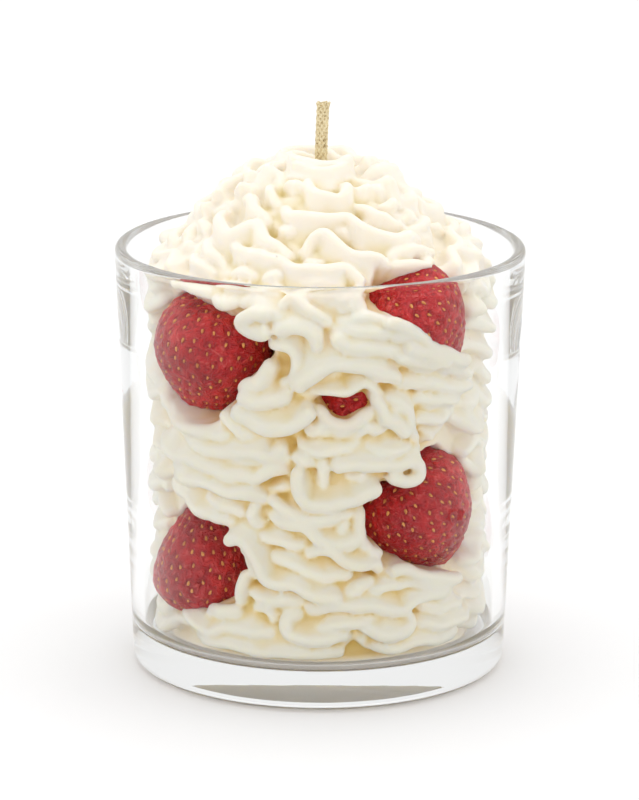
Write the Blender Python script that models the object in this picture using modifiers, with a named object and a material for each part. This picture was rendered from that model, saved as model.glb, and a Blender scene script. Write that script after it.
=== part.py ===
"""A strawberry parfait candle: piped white cream with whole strawberries in a clear glass tumbler.

Metres, +Z up. The origin is the centre of the glass's underside. An azimuth is 0 at the
front (-Y) and grows to the right (+X), seen from the front. The pieces are the glass, the
cream with its piped ruffles, eleven strawberries and the wick.
"""

import math
import random

import bmesh
import bpy
import numpy as np
from mathutils import Matrix, Vector

MM = 0.001
FIT_GAP = 0.35 * MM

# Glass tumbler, with a heavy base
GLASS_HEIGHT = 92.0 * MM
RIM_RADIUS = 44.0 * MM
FOOT_RADIUS = 40.3 * MM
WALL = 2.7 * MM
FLOOR = 8.0 * MM
FOOT_ROUND = 2.4 * MM
FLOOR_ROUND = 4.0 * MM
GLASS_SIDES = 48
ROUND_STEPS = 3
LIP_STEPS = 5

# Cream: a column that follows the glass, under a mound that stands above the rim
CREAM_BOTTOM = FLOOR + FIT_GAP
SHOULDER = 85.0 * MM
MOUND_RISE = 26.4 * MM
MOUND_POWER = 2.3
CREAM_TO_WALL = 2.9 * MM
FOOT_SPREAD = 3.0 * MM
ENVELOPE_STEPS = 60
ENVELOPE_SOFTEN = 4

# Ruffles: the wavy ridges that a star nozzle leaves, one above another all the way up
RUFFLE_PITCH = 6.2 * MM
RUFFLE_DEPTH = 5.0 * MM
RUFFLE_WAVE = 2.5 * MM
WAVE_LENGTH = 12.5 * MM
RUFFLE_BULGE = 0.8 * MM
RUFFLE_LEAN = 6.0 * MM
RUFFLE_SEED = 11
FEWEST_WAVES = 5
WAVE_WANDER = 0.9
CREAM_COLUMNS = 72
# The ridges are smaller on top of the mound, and calm at the foot and at the top
TOP_RIDGE_SIZE = 0.4
FULL_RIDGE_RADIUS = 17.0 * MM
CALM_SHARE = 0.4
FIRST_VALLEY = 0.25
# Each ridge has a valley, then a lower and an upper lip: (share of the pitch, share of
# the depth, share of the wave)
RIDGE_ROWS = ((0.0, 1.0, 0.35), (0.36, 0.1, 1.0), (0.70, 0.0, 1.0))
LEAST_STEP = 0.7 * MM

# Strawberries: name, azimuth and lean in degrees, then height of the centre, reach of the
# outer side, length and width in millimetres. A lean of 0 points the tip down, and a
# positive lean turns the tip to the right.
BERRIES = (
    ("strawberry_upper_left", -52.5, -12, 70.8, 40.0, 27.0, 24.5),
    ("strawberry_upper_right", 43, 46, 78.6, 40.2, 27.5, 24.5),
    ("strawberry_middle", 12, -70, 59.5, 35.0, 24.0, 21.0),
    ("strawberry_lower_right", 49.5, 34, 37.0, 39.3, 29.0, 25.5),
    ("strawberry_lower_left", -59.5, 186, 26.0, 38.4, 24.5, 21.5),
    ("strawberry_right_back", 113, -12, 62.0, 39.6, 26.0, 23.5),
    ("strawberry_back_high", 170, 20, 72.5, 39.8, 25.5, 23.5),
    ("strawberry_left_back", -124, -20, 73.0, 40.0, 26.0, 24.0),
    ("strawberry_back_low", 174, 15, 44.0, 39.2, 26.0, 23.5),
    ("strawberry_right_low", 118, 172, 26.0, 38.5, 24.5, 22.0),
    ("strawberry_left_low", -126, 10, 29.0, 38.7, 25.5, 23.0),
)
BERRY_TAPER = 0.34
BERRY_DIMPLE = 1.6 * MM
DIMPLE_SPREAD = 0.45
# Gentle lobes round a berry: (how many, share of the radius, phase)
BERRY_LOBES = ((2, 0.03, 0.6), (3, 0.02, 0.0))
BERRY_SIDES = 12
BERRY_RINGS = 8
WINDOW_RADIUS = 31.0 * MM
WINDOW_EDGE = 1.3
COVERED_WINDOWS = {"strawberry_middle": 0.24}

# Wick, and the width of the mound's small flat top that it stands in
WICK_RADIUS = 1.4 * MM
WICK_TOP = 122.6 * MM
WICK_FOOT = 101.0 * MM
WICK_FLARE = 1.18
WICK_LEAN = 0.5 * MM
WICK_POINTS = 8
TOP_OPENING = 3.2 * MM


def clear_scene():
    for obj in list(bpy.data.objects):
        bpy.data.objects.remove(obj, do_unlink=True)


def new_collection(name):
    collection = bpy.data.collections.new(name)
    bpy.context.scene.collection.children.link(collection)
    return collection


def material(name, colour, roughness, transmission=0.0, subsurface=0.0):
    made = bpy.data.materials.new(name)
    made.use_nodes = True
    shader = made.node_tree.nodes["Principled BSDF"]
    shader.inputs["Base Color"].default_value = (*colour, 1.0)
    shader.inputs["Roughness"].default_value = roughness
    shader.inputs["Metallic"].default_value = 0.0
    shader.inputs["Transmission Weight"].default_value = transmission
    shader.inputs["Subsurface Weight"].default_value = subsurface
    return made


def finished(mesh, name):
    """Mesh data from a bmesh, shaded smooth."""
    data = bpy.data.meshes.new(name)
    mesh.to_mesh(data)
    mesh.free()
    data.shade_smooth()
    return data


def add_object(name, mesh, collection, finish=None):
    obj = bpy.data.objects.new(name, mesh)
    collection.objects.link(obj)
    if finish:
        mesh.materials.clear()
        mesh.materials.append(finish)
    return obj


# ---------------------------------------------------------------------------- glass


def outer_radius(z):
    return FOOT_RADIUS + (RIM_RADIUS - FOOT_RADIUS) * z / GLASS_HEIGHT


def inner_radius(z):
    return outer_radius(z) - WALL


def arc(centre_r, centre_z, radius, start_deg, end_deg, steps):
    """Points of an arc in the (r, z) half plane, both ends included."""
    angles = np.radians(np.linspace(start_deg, end_deg, steps + 1))
    return [
        (centre_r + radius * math.cos(a), centre_z + radius * math.sin(a))
        for a in angles
    ]


def glass_profile():
    """Floor centre, out and up the inside, over the rim, down the outside to the axis."""
    lip = WALL / 2
    rim_z = GLASS_HEIGHT - lip
    floor_r = inner_radius(FLOOR + FLOOR_ROUND)
    points = [(0.0, FLOOR)]
    floor_z = FLOOR + FLOOR_ROUND
    foot_r = outer_radius(FOOT_ROUND) - FOOT_ROUND
    points += arc(floor_r - FLOOR_ROUND, floor_z, FLOOR_ROUND, -90, 0, ROUND_STEPS)
    points += arc(outer_radius(rim_z) - lip, rim_z, lip, 180, 0, LIP_STEPS)
    points += arc(foot_r, FOOT_ROUND, FOOT_ROUND, 0, -90, ROUND_STEPS)
    points.append((0.0, 0.0))
    return points


def turned(name, profile, sides, collection, finish):
    """An open (r, z) profile turned round Z with a Screw modifier."""
    mesh = bpy.data.meshes.new(name)
    edges = [(i, i + 1) for i in range(len(profile) - 1)]
    mesh.from_pydata([(r, 0.0, z) for r, z in profile], edges, [])
    obj = add_object(name, mesh, collection, finish)
    screw = obj.modifiers.new("turn", "SCREW")
    screw.axis = "Z"
    screw.angle = 2 * math.pi
    screw.steps = sides
    screw.render_steps = sides
    screw.use_merge_vertices = True
    screw.merge_threshold = 0.00001
    screw.use_smooth_shade = True
    return obj


# ---------------------------------------------------------------------------- cream


class Envelope:
    """The cream's outer shape as an (r, z) line, read by its length s from the floor."""

    def __init__(self):
        wall_z = np.linspace(CREAM_BOTTOM, SHOULDER, ENVELOPE_STEPS)
        above = (wall_z - CREAM_BOTTOM) / FOOT_SPREAD
        foot = FOOT_SPREAD * (1 - np.sqrt(1 - (1 - np.clip(above, 0, 1)) ** 2))
        wall_r = inner_radius(wall_z) - CREAM_TO_WALL - foot
        mound_r = wall_r[-1] * np.linspace(1.0, 0.0, ENVELOPE_STEPS)[1:]
        mound_z = SHOULDER + MOUND_RISE * (1 - (mound_r / wall_r[-1]) ** MOUND_POWER)
        self.r = np.concatenate([wall_r, mound_r])
        self.z = np.concatenate([wall_z, mound_z])
        steps = np.hypot(np.diff(self.r), np.diff(self.z))
        self.s = np.concatenate([[0.0], np.cumsum(steps)])
        self.length = self.s[-1]
        slope_r = np.gradient(self.r, self.s)
        slope_z = np.gradient(self.z, self.s)
        near = ENVELOPE_SOFTEN
        soften = np.ones(2 * near + 1) / (2 * near + 1)
        self.up_r = np.convolve(np.pad(slope_r, near, "edge"), soften, "valid")
        self.up_z = np.convolve(np.pad(slope_z, near, "edge"), soften, "valid")

    def at(self, s):
        """(r, z, up_r, up_z): a point of the line and the unit direction up along it."""
        up_r = np.interp(s, self.s, self.up_r)
        up_z = np.interp(s, self.s, self.up_z)
        size = math.hypot(up_r, up_z)
        r = np.interp(s, self.s, self.r)
        z = np.interp(s, self.s, self.z)
        return r, z, up_r / size, up_z / size


ENVELOPE = Envelope()


def window(azimuth, z):
    """How far the cream gives way to a strawberry there: 0 is not at all, 1 is fully."""
    most = 0.0
    for name, b_azimuth, lean, height, reach, length, width in BERRIES:
        share = COVERED_WINDOWS.get(name, 1.0)
        turn = (azimuth - b_azimuth + 180.0) % 360.0 - 180.0
        across = math.radians(turn) * (reach - width / 4) * MM
        along = z - height * MM
        tilt = math.radians(lean)
        side = across * math.cos(tilt) + along * math.sin(tilt)
        down = -across * math.sin(tilt) + along * math.cos(tilt)
        side /= width * MM * share / 2
        down /= length * MM * share / 2
        most = max(most, (WINDOW_EDGE - math.hypot(side, down)) / (WINDOW_EDGE - 1.0))
    return max(0.0, min(1.0, most))


def ruffle_waves(rng):
    """For each ridge its number of waves, their phase and height, and its slow waver."""
    waves = []
    count = int((ENVELOPE.length - TOP_OPENING) / RUFFLE_PITCH)
    for ridge in range(count):
        radius = ENVELOPE.at((ridge + 0.5) * RUFFLE_PITCH)[0]
        waves.append(
            (
                max(FEWEST_WAVES, round(2 * math.pi * radius / WAVE_LENGTH)),
                rng.uniform(0.0, 2 * math.pi),
                RUFFLE_WAVE * rng.uniform(0.8, 1.2),
                rng.uniform(0.0, 2 * math.pi),
            )
        )
    return waves


def cream_column(angle, waves):
    """(s, depth) down one side of the cream, from its foot to the top of the mound."""
    column = [(0.0, 0.0)]
    for ridge, (number, phase, height, waver) in enumerate(waves):
        for share, depth, sway in RIDGE_ROWS:
            base = (ridge + share + FIRST_VALLEY) * RUFFLE_PITCH
            middle = math.sin(math.pi * min(1.0, base / ENVELOPE.length))
            grown = min(1.0, ENVELOPE.at(base)[0] / FULL_RIDGE_RADIUS)
            size = TOP_RIDGE_SIZE + (1.0 - TOP_RIDGE_SIZE) * grown
            wander = WAVE_WANDER * math.sin(2 * angle + waver)
            wave = math.sin(number * angle + phase + wander)
            s = base - RUFFLE_LEAN * math.sin(angle) * middle
            s += height * size * sway * wave * min(1.0, middle / CALM_SHARE)
            s = max(s, column[-1][0] + LEAST_STEP)
            bulge = RUFFLE_BULGE * math.sin(2 * angle + phase) * (1 - depth)
            column.append((s, RUFFLE_DEPTH * size * depth + bulge))
    return column


def cream_point(angle, s, depth):
    """A point at that depth under the envelope, kept clear of glass and strawberries."""
    r, z, up_r, up_z = ENVELOPE.at(min(s, ENVELOPE.length - TOP_OPENING))
    give = window(math.degrees(angle), z)
    berry_depth = (r - WINDOW_RADIUS) * max(up_z, 0.0)
    depth = depth + (max(depth, berry_depth) - depth) * give
    radius = max(r - depth * up_z, TOP_OPENING / 2)
    height = max(z + depth * up_r, CREAM_BOTTOM)
    return Vector((radius * math.sin(angle), -radius * math.cos(angle), height))


def build_cream(collection, finish):
    """Wavy ridges all round, closed by a flat foot and by a small cap at the top."""
    waves = ruffle_waves(random.Random(RUFFLE_SEED))
    mesh = bmesh.new()
    columns = []
    for j in range(CREAM_COLUMNS):
        angle = 2 * math.pi * j / CREAM_COLUMNS
        points = [cream_point(angle, s, depth) for s, depth in cream_column(angle, waves)]
        columns.append([mesh.verts.new(point) for point in points])
    for j, column in enumerate(columns):
        following = columns[(j + 1) % CREAM_COLUMNS]
        for i in range(len(column) - 1):
            mesh.faces.new((column[i], following[i], following[i + 1], column[i + 1]))
    mesh.faces.new([column[0] for column in columns][::-1])
    mesh.faces.new([column[-1] for column in columns])
    bmesh.ops.remove_doubles(mesh, verts=mesh.verts[:], dist=0.01 * MM)
    bmesh.ops.triangulate(mesh, faces=mesh.faces[:])
    return add_object("cream", finished(mesh, "cream"), collection, finish)


def drop_scraps(mesh):
    """Keeps the largest connected part of the mesh."""
    left, parts = set(mesh.verts), []
    while left:
        part, grow = set(), [left.pop()]
        while grow:
            vert = grow.pop()
            part.add(vert)
            near = {edge.other_vert(vert) for edge in vert.link_edges} & left
            left -= near
            grow.extend(near)
        parts.append(part)
    parts.sort(key=len)
    scraps = [vert for part in parts[:-1] for vert in part]
    bmesh.ops.delete(mesh, geom=scraps, context="VERTS")


def make_room(cream, cutters, finish):
    """Cuts the places of the strawberries and the wick out of the cream."""
    boolean = cream.modifiers.new("make_room", "BOOLEAN")
    boolean.operation = "DIFFERENCE"
    boolean.operand_type = "COLLECTION"
    boolean.collection = cutters
    bpy.context.view_layer.update()
    graph = bpy.context.evaluated_depsgraph_get()
    mesh = bmesh.new()
    mesh.from_mesh(bpy.data.meshes.new_from_object(cream.evaluated_get(graph)))
    drop_scraps(mesh)
    cream.modifiers.clear()
    cream.data = finished(mesh, "cream")
    cream.data.materials.append(finish)
    for cutter in cutters.objects:
        cutter.hide_render = True
        cutter.display_type = "WIRE"


# ---------------------------------------------------------------------- strawberries


def berry_mesh(length, width, grow):
    """A strawberry, tip down, without its leaves, from a sphere: broad at the top."""
    mesh = bmesh.new()
    bmesh.ops.create_uvsphere(
        mesh, u_segments=BERRY_SIDES, v_segments=BERRY_RINGS, radius=1.0
    )
    polars = np.linspace(0.0, math.pi, 90)
    widest = np.max(np.sin(polars) * (1 + BERRY_TAPER * np.cos(polars)))
    for vert in mesh.verts:
        polar = math.acos(max(-1.0, min(1.0, vert.co.z)))
        around = math.atan2(vert.co.y, vert.co.x)
        girth = math.sin(polar) * (1 + BERRY_TAPER * math.cos(polar)) / widest
        lobes = sum(s * math.cos(n * around + p) for n, s, p in BERRY_LOBES)
        radius = (width / 2 * MM + grow) * girth * (1 + lobes)
        dimple = BERRY_DIMPLE * math.exp(-((polar / DIMPLE_SPREAD) ** 2))
        vert.co = (
            radius * math.cos(around),
            radius * math.sin(around),
            (length / 2 * MM + grow) * math.cos(polar) - dimple,
        )
    return mesh


def berry_centre(azimuth, height, reach, width):
    """Where a berry's centre is, when its outer side is at the given reach."""
    angle = math.radians(azimuth)
    radius = (reach - width / 2) * MM
    return Vector((radius * math.sin(angle), -radius * math.cos(angle), height * MM))


def place_berry(name, row, grow, collection, finish=None):
    azimuth, lean, height, reach, length, width = row
    mesh = berry_mesh(length, width, grow)
    obj = add_object(name, finished(mesh, name), collection, finish)
    obj.location = berry_centre(azimuth, height, reach, width)
    turn = Matrix.Rotation(math.radians(azimuth), 4, "Z")
    tip = Matrix.Rotation(math.radians(-lean), 4, "Y")
    obj.rotation_euler = (turn @ tip).to_euler()


# ------------------------------------------------------------------------------ wick


def build_wick(collection, finish):
    """A stiff cord, a little splayed at its cut end."""
    curve = bpy.data.curves.new("wick", "CURVE")
    curve.dimensions = "3D"
    curve.bevel_depth = WICK_RADIUS
    curve.bevel_resolution = 2
    curve.use_fill_caps = True
    spline = curve.splines.new("POLY")
    shares = np.linspace(0.0, 1.0, WICK_POINTS)
    spline.points.add(len(shares) - 1)
    for point, share in zip(spline.points, shares):
        z = WICK_FOOT + (WICK_TOP - WICK_FOOT) * share
        point.co = (WICK_LEAN * share**2, 0.0, z, 1.0)
    spline.points[-1].radius = WICK_FLARE
    curve.materials.append(finish)
    obj = bpy.data.objects.new("wick", curve)
    collection.objects.link(obj)


def wick_socket(collection):
    """The hole that the wick stands in, as a cutter."""
    mesh = bmesh.new()
    bottom = WICK_FOOT - FIT_GAP
    depth = WICK_TOP - bottom
    bmesh.ops.create_cone(
        mesh,
        cap_ends=True,
        segments=12,
        radius1=WICK_RADIUS + FIT_GAP,
        radius2=WICK_RADIUS + WICK_LEAN + FIT_GAP,
        depth=depth,
    )
    obj = add_object("wick_socket", finished(mesh, "wick_socket"), collection)
    obj.location = (0.0, 0.0, bottom + depth / 2)


def main():
    clear_scene()
    parts = new_collection("strawberry_parfait_candle")
    cutters = new_collection("cutters")
    clear = material("clear_glass", (0.98, 0.99, 0.98), 0.02, transmission=1.0)
    wax = material("cream_wax", (0.95, 0.91, 0.80), 0.45, subsurface=0.3)
    berry_red = material("strawberry_red", (0.52, 0.03, 0.04), 0.35, subsurface=0.1)
    cotton = material("wick_cotton", (0.80, 0.72, 0.52), 0.85)

    turned("glass_tumbler", glass_profile(), GLASS_SIDES, parts, clear)
    for name, *row in BERRIES:
        place_berry(name, row, 0.0, parts, berry_red)
        place_berry(name + "_room", row, FIT_GAP, cutters)
    wick_socket(cutters)
    build_wick(parts, cotton)
    make_room(build_cream(parts, wax), cutters, wax)


main()
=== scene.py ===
"""The looks of a strawberry parfait candle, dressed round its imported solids.

Clear glass, piped ivory wax, strawberries with their seeds and a braided wick. The candle's
lengths are in millimetres, and those of the materials and the studio are in metres. An
azimuth is in degrees, 0 at the front (-Y) and growing to the right (+X), seen from the front.
"""

import math

import bmesh
import bpy
import numpy as np
from mathutils import Matrix, Vector


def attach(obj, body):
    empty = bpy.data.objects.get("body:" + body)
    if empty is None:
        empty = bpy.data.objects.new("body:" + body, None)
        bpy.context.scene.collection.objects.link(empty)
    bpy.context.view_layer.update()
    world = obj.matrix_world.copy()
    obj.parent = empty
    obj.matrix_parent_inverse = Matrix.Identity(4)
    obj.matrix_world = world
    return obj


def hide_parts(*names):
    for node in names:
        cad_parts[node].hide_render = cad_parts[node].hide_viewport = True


MM = 0.001
FULL_TURN = 2 * math.pi
WHITE = (1.0, 1.0, 1.0, 1.0)
# A distance that counts as far, and those under which a slope and a radius count as nothing
FAR = 99.0
TINY = 1e-9
TINY_RADIUS = 1e-6

# The photo's camera: where it stands, how it is turned, and its focal length in pixels
CAMERA_AWAY = 0.880
CAMERA_HEIGHT = 0.2828
CAMERA_PITCH = 14.37
CAMERA_ROLL = 0.29
FOCAL_PX = 4212.0
PHOTO_HEIGHT_PX = 800.0
SENSOR_MM = 36.0

# Glass: WALL is the side's thickness, FLOOR the base's, and the rounds are the radii at the
# outer foot and at the inner floor
GLASS_HEIGHT = 92.0
RIM_RADIUS = 44.0
FOOT_RADIUS = 40.3
WALL = 2.7
FLOOR = 8.0
FOOT_ROUND = 2.4
FLOOR_ROUND = 4.0
GLASS_SIDES = 192
GLASS_IOR = 1.5
GLASS_TINT = (0.995, 0.998, 0.996, 1.0)
# What glass mirrors head-on, which is taken off, and what a lamp's light keeps at each face
HEAD_ON = 0.04
LIGHT_KEPT = (0.98, 0.98, 0.98, 1.0)

# Strawberries: node, azimuth and lean in degrees, then height of the centre, reach of the
# outer side, length and width. A lean of 0 points the tip down, and a positive lean turns
# the tip to the right.
BERRIES = (
    ("strawberry_upper_left", -52.5, -12, 70.8, 40.0, 27.0, 24.5),
    ("strawberry_upper_right", 43, 46, 78.6, 40.2, 27.5, 24.5),
    ("strawberry_middle", 12, -70, 59.5, 35.0, 24.0, 21.0),
    ("strawberry_lower_right", 49.5, 34, 37.0, 39.3, 29.0, 25.5),
    ("strawberry_lower_left", -59.5, 186, 26.0, 38.4, 24.5, 21.5),
    ("strawberry_right_back", 113, -12, 62.0, 39.6, 26.0, 23.5),
    ("strawberry_back_high", 170, 20, 72.5, 39.8, 25.5, 23.5),
    ("strawberry_left_back", -124, -20, 73.0, 40.0, 26.0, 24.0),
    ("strawberry_back_low", 174, 15, 44.0, 39.2, 26.0, 23.5),
    ("strawberry_right_low", 118, 172, 26.0, 38.5, 24.5, 22.0),
    ("strawberry_left_low", -126, 10, 29.0, 38.7, 25.5, 23.0),
)
FRONT_BERRIES = 5
# How much wider a strawberry is near the top than near the tip, and how deep the top dips
BERRY_TAPER = 0.34
BERRY_DIMPLE = 1.6

# The openings in the cream through which the front strawberries show, as azimuths with
# lengths up the cream's outline
OPENINGS = (
    # upper left
    (
        (-74, 62), (-73, 69), (-68, 74.5), (-60, 76.8), (-50, 77), (-41.5, 76.8), (-37.3, 76.6),
        (-35.3, 75.8), (-29.7, 77.2), (-27, 76.8), (-26.8, 74.6), (-26, 73), (-23.7, 71.7), (-20.3, 71.1),
        (-17.2, 71.3), (-16.3, 70.7), (-17.3, 69), (-15.5, 66.7), (-18.5, 65.2), (-20.3, 63), (-23.7, 62.3),
        (-25.5, 61.2), (-27.3, 59.1), (-29.1, 56.4), (-31.5, 53.3), (-36, 50.2), (-44, 49.4), (-52, 50.8),
        (-60, 54.5), (-68, 58),
    ),
    # upper right
    (
        (22.5, 86), (27, 87.2), (31, 87.8), (36, 87.2), (40, 87.6), (42.5, 88.3), (46, 86.5), (52, 84),
        (58, 80), (60, 74), (57, 69), (52, 66.5), (47, 66.6), (40, 68), (35, 70.7), (30, 73.5), (25, 75),
        (20.4, 76.3), (16.2, 77), (15.5, 78.3), (16.8, 79.4), (18.5, 80.6), (20, 82), (22, 84),
    ),
    # middle
    (
        (-1.6, 59), (3, 59.4), (8.6, 59.2), (12.5, 59.2), (15.5, 58.3), (17.4, 57), (15.4, 55.4),
        (12.8, 54.4), (10.4, 53.2), (7, 52.8), (4.3, 53.6), (1.8, 54.2), (0.4, 56.8),
    ),
    # lower right
    (
        (34.3, 44.3), (35.5, 45.3), (38.5, 44.6), (41, 44.3), (42.5, 45), (50, 45.5), (57, 42), (62, 35),
        (61, 28), (56, 22), (50, 18), (47, 18), (43, 18.5), (39, 19.4), (36, 20.1), (33.3, 20.5),
        (32.8, 21.4), (31, 22.4), (24.6, 23.3), (20.8, 24.2), (18, 26), (15.3, 27.8), (15.8, 29.8),
        (15.5, 32), (16, 34.2), (16.6, 35.6), (19.8, 35.3), (22, 36), (22.5, 37.2), (21.4, 38.5),
        (23.3, 39.7), (25.3, 39.8), (27.4, 39.3), (30, 38.8), (33, 39.6), (35.3, 40.5), (36, 42),
    ),
    # lower left
    (
        (-50, 32.6), (-47.5, 32.2), (-46, 30.8), (-44, 29.9), (-38.5, 30.6), (-37, 30.4), (-36, 29.3),
        (-33.3, 29.3), (-30.3, 28.8), (-32.3, 27), (-31.5, 25.3), (-29.8, 24.2), (-25.8, 23), (-25, 22.6),
        (-26.6, 20), (-28.3, 17), (-29.3, 15.7), (-29.2, 14.2), (-30.3, 13), (-34.3, 12.6), (-36.8, 12),
        (-40.5, 10.6), (-45, 10.2), (-50, 10.7), (-55.5, 12), (-62, 14), (-69, 18), (-71, 22), (-67, 28),
        (-60, 31.5), (-55, 33),
    ),
)

# ---------------------------------------------------------------------------- helpers


def eased(share):
    """A share from 0 to 1 that starts and ends softly."""
    return share * share * (3 - 2 * share)


def grow(value, start, width):
    """0 at the start, growing evenly to 1 over the width, which is below 0 to grow downwards."""
    return np.clip((value - start) / width, 0, 1)


def wrapped(azimuth):
    """The azimuth between -180 and 180 degrees."""
    return (azimuth + 180.0) % 360.0 - 180.0


def unit(vectors):
    """The vectors at length 1."""
    return vectors / np.linalg.norm(vectors, axis=1)[:, None]


def add_object(name, data):
    obj = bpy.data.objects.new(name, data)
    bpy.context.scene.collection.objects.link(obj)
    return obj


def add_mesh(name, verts, faces, materials):
    """A smooth mesh object from points in millimetres."""
    data = bpy.data.meshes.new(name)
    data.from_pydata((np.asarray(verts) * MM).tolist(), [], faces)
    data.update()
    for finish in materials:
        data.materials.append(finish)
    data.shade_smooth()
    return add_object(name, data)


def vertex_places(data):
    """A mesh's points in millimetres."""
    places = np.empty(len(data.vertices) * 3)
    data.vertices.foreach_get("co", places)
    return places.reshape(-1, 3) / MM


def add_layer(data, name, values):
    """Keeps a value for each point, which a material reads by that name."""
    layer = data.attributes.new(name, "FLOAT", "POINT")
    layer.data.foreach_set("value", values.astype(np.float32))


def apply_modifiers(obj):
    """Gives the object the mesh that its modifiers make."""
    graph = bpy.context.evaluated_depsgraph_get()
    made = bpy.data.meshes.new_from_object(obj.evaluated_get(graph))
    obj.modifiers.clear()
    old = obj.data
    obj.data = made
    bpy.data.meshes.remove(old)


def dress(obj, node):
    """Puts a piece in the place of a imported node."""
    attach(obj, "root")
    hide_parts(node)


class Nodes:
    """A short way to build a material's nodes."""

    def __init__(self, name):
        self.material = bpy.data.materials.new(name)
        self.material.use_nodes = True
        self.tree = self.material.node_tree
        self.shader = self.tree.nodes["Principled BSDF"]
        self.output = self.tree.nodes["Material Output"]

    def add(self, kind, settings=None, **inputs):
        node = self.tree.nodes.new("ShaderNode" + kind)
        for key, value in (settings or {}).items():
            setattr(node, key, value)
        for key, value in inputs.items():
            self.put(value, node.inputs[key.replace("_", " ")])
        return node

    def put(self, value, socket):
        if isinstance(value, bpy.types.NodeSocket):
            self.tree.links.new(value, socket)
        else:
            socket.default_value = value

    def set(self, **inputs):
        for key, value in inputs.items():
            self.put(value, self.shader.inputs[key.replace("_", " ")])

    def noise(self, scale, detail=3.0, distortion=0.0):
        place = self.add("TexCoord").outputs["Object"]
        node = self.add("TexNoise", Scale=scale, Detail=detail, Distortion=distortion)
        self.put(place, node.inputs["Vector"])
        return node.outputs["Fac"]

    def ramp(self, value, *stops):
        node = self.add("ValToRGB", Fac=value)
        points = node.color_ramp.elements
        while len(points) < len(stops):
            points.new(0.5)
        for point, (place, colour) in zip(points, stops):
            point.position = place
            point.color = (*colour, 1.0)
        return node.outputs["Color"]

    def span(self, value, start, stop, highest=1.0):
        """0 at start, rising softly to the highest at stop."""
        limits = {"From_Min": start, "From_Max": stop, "To_Max": highest}
        node = self.add("MapRange", {"interpolation_type": "SMOOTHSTEP"}, Value=value, **limits)
        return node.outputs["Result"]

    def math(self, operation, *values):
        node = self.add("Math", {"operation": operation})
        for value, socket in zip(values, node.inputs):
            self.put(value, socket)
        return node.outputs[0]

    def blend(self, share, first, second, way="MIX"):
        """The second colour laid over the first by that share."""
        node = self.add("Mix", {"data_type": "RGBA", "blend_type": way})
        for value, number in ((share, 0), (first, 6), (second, 7)):
            self.put(value, node.inputs[number])
        return node.outputs[2]

    def join(self, share, first, second):
        """Two shaders mixed by that share."""
        node = self.add("MixShader")
        for value, socket in zip((share, first, second), node.inputs):
            self.put(value, socket)
        return node.outputs[0]

    def attribute(self, name):
        return self.add("Attribute", {"attribute_name": name}).outputs["Fac"]

    def bump(self, height, strength, distance):
        node = self.add("Bump", Strength=strength, Distance=distance, Height=height)
        self.put(node.outputs["Normal"], self.shader.inputs["Normal"])


# ---------------------------------------------------------------------------- materials


def glass_material():
    """Clear glass that mirrors only at a slant and lets the lamps' light through."""
    n = Nodes("clear_glass")
    n.tree.nodes.remove(n.shader)
    bent = n.add("BsdfRefraction", Color=GLASS_TINT, Roughness=0.0, IOR=GLASS_IOR)
    mirror = n.add("BsdfAnisotropic", Color=WHITE, Roughness=0.0)
    fresnel = n.add("Fresnel", IOR=GLASS_IOR).outputs["Fac"]
    slant = n.math("MULTIPLY", n.math("SUBTRACT", fresnel, HEAD_ON), 1.0 / (1.0 - HEAD_ON))
    slant = n.math("MAXIMUM", slant, 0.0)
    solid = n.join(slant, bent.outputs[0], mirror.outputs[0])
    clear = n.add("BsdfTransparent", Color=LIGHT_KEPT)
    shadow = n.add("LightPath").outputs["Is Shadow Ray"]
    n.put(n.join(shadow, solid, clear.outputs[0]), n.output.inputs["Surface"])
    return n.material


def wax_material():
    """Ivory wax, translucent and pale on the ruffles' lips, with painted shade that makes it darker and
    golden in the creases and darker on the dome, and a painted pink reflection near the strawberries.
    """
    n = Nodes("ivory_wax")
    mottle = n.noise(90.0, detail=4.0)
    uneven = n.math("MULTIPLY", n.math("SUBTRACT", mottle, 0.5), 0.16)
    # Painted shade: darker and golden where the creases lie deep among the ruffles, standing in for shade
    # and for light scattered in the wax.
    colour = n.ramp(
        n.math("ADD", n.attribute("crease_shade"), uneven),
        (0.0, (0.99, 0.888, 0.78)),
        (0.3, (0.945, 0.812, 0.585)),
        (0.62, (0.85, 0.68, 0.33)),
        (1.0, (0.76, 0.55, 0.17)),
    )
    # Painted shade: the dome, which the light from above falls on most, is darkened and a little cooled.
    dome_shade = n.math("MULTIPLY", n.attribute("dome_shade"), 0.8)
    colour = n.blend(dome_shade, colour, (0.85, 0.895, 0.90, 1.0), "MULTIPLY")
    # Painted reflection: a pink tint near the strawberries, strongest at the front middle, standing in for
    # the red light they throw onto the wax.
    berry_glow = n.math("MULTIPLY", n.attribute("berry_glow"), 0.12)
    colour = n.blend(berry_glow, colour, (0.86, 0.60, 0.55, 1.0))
    n.set(
        Base_Color=colour,
        Roughness=n.math("ADD", n.math("MULTIPLY", mottle, 0.16), 0.36),
        Subsurface_Weight=1.0,
        Subsurface_Radius=(1.0, 0.92, 0.7),
        Subsurface_Scale=0.0009,
        IOR=1.44,
    )
    n.bump(n.noise(420.0), 0.12, 0.0006)
    return n.material


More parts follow.
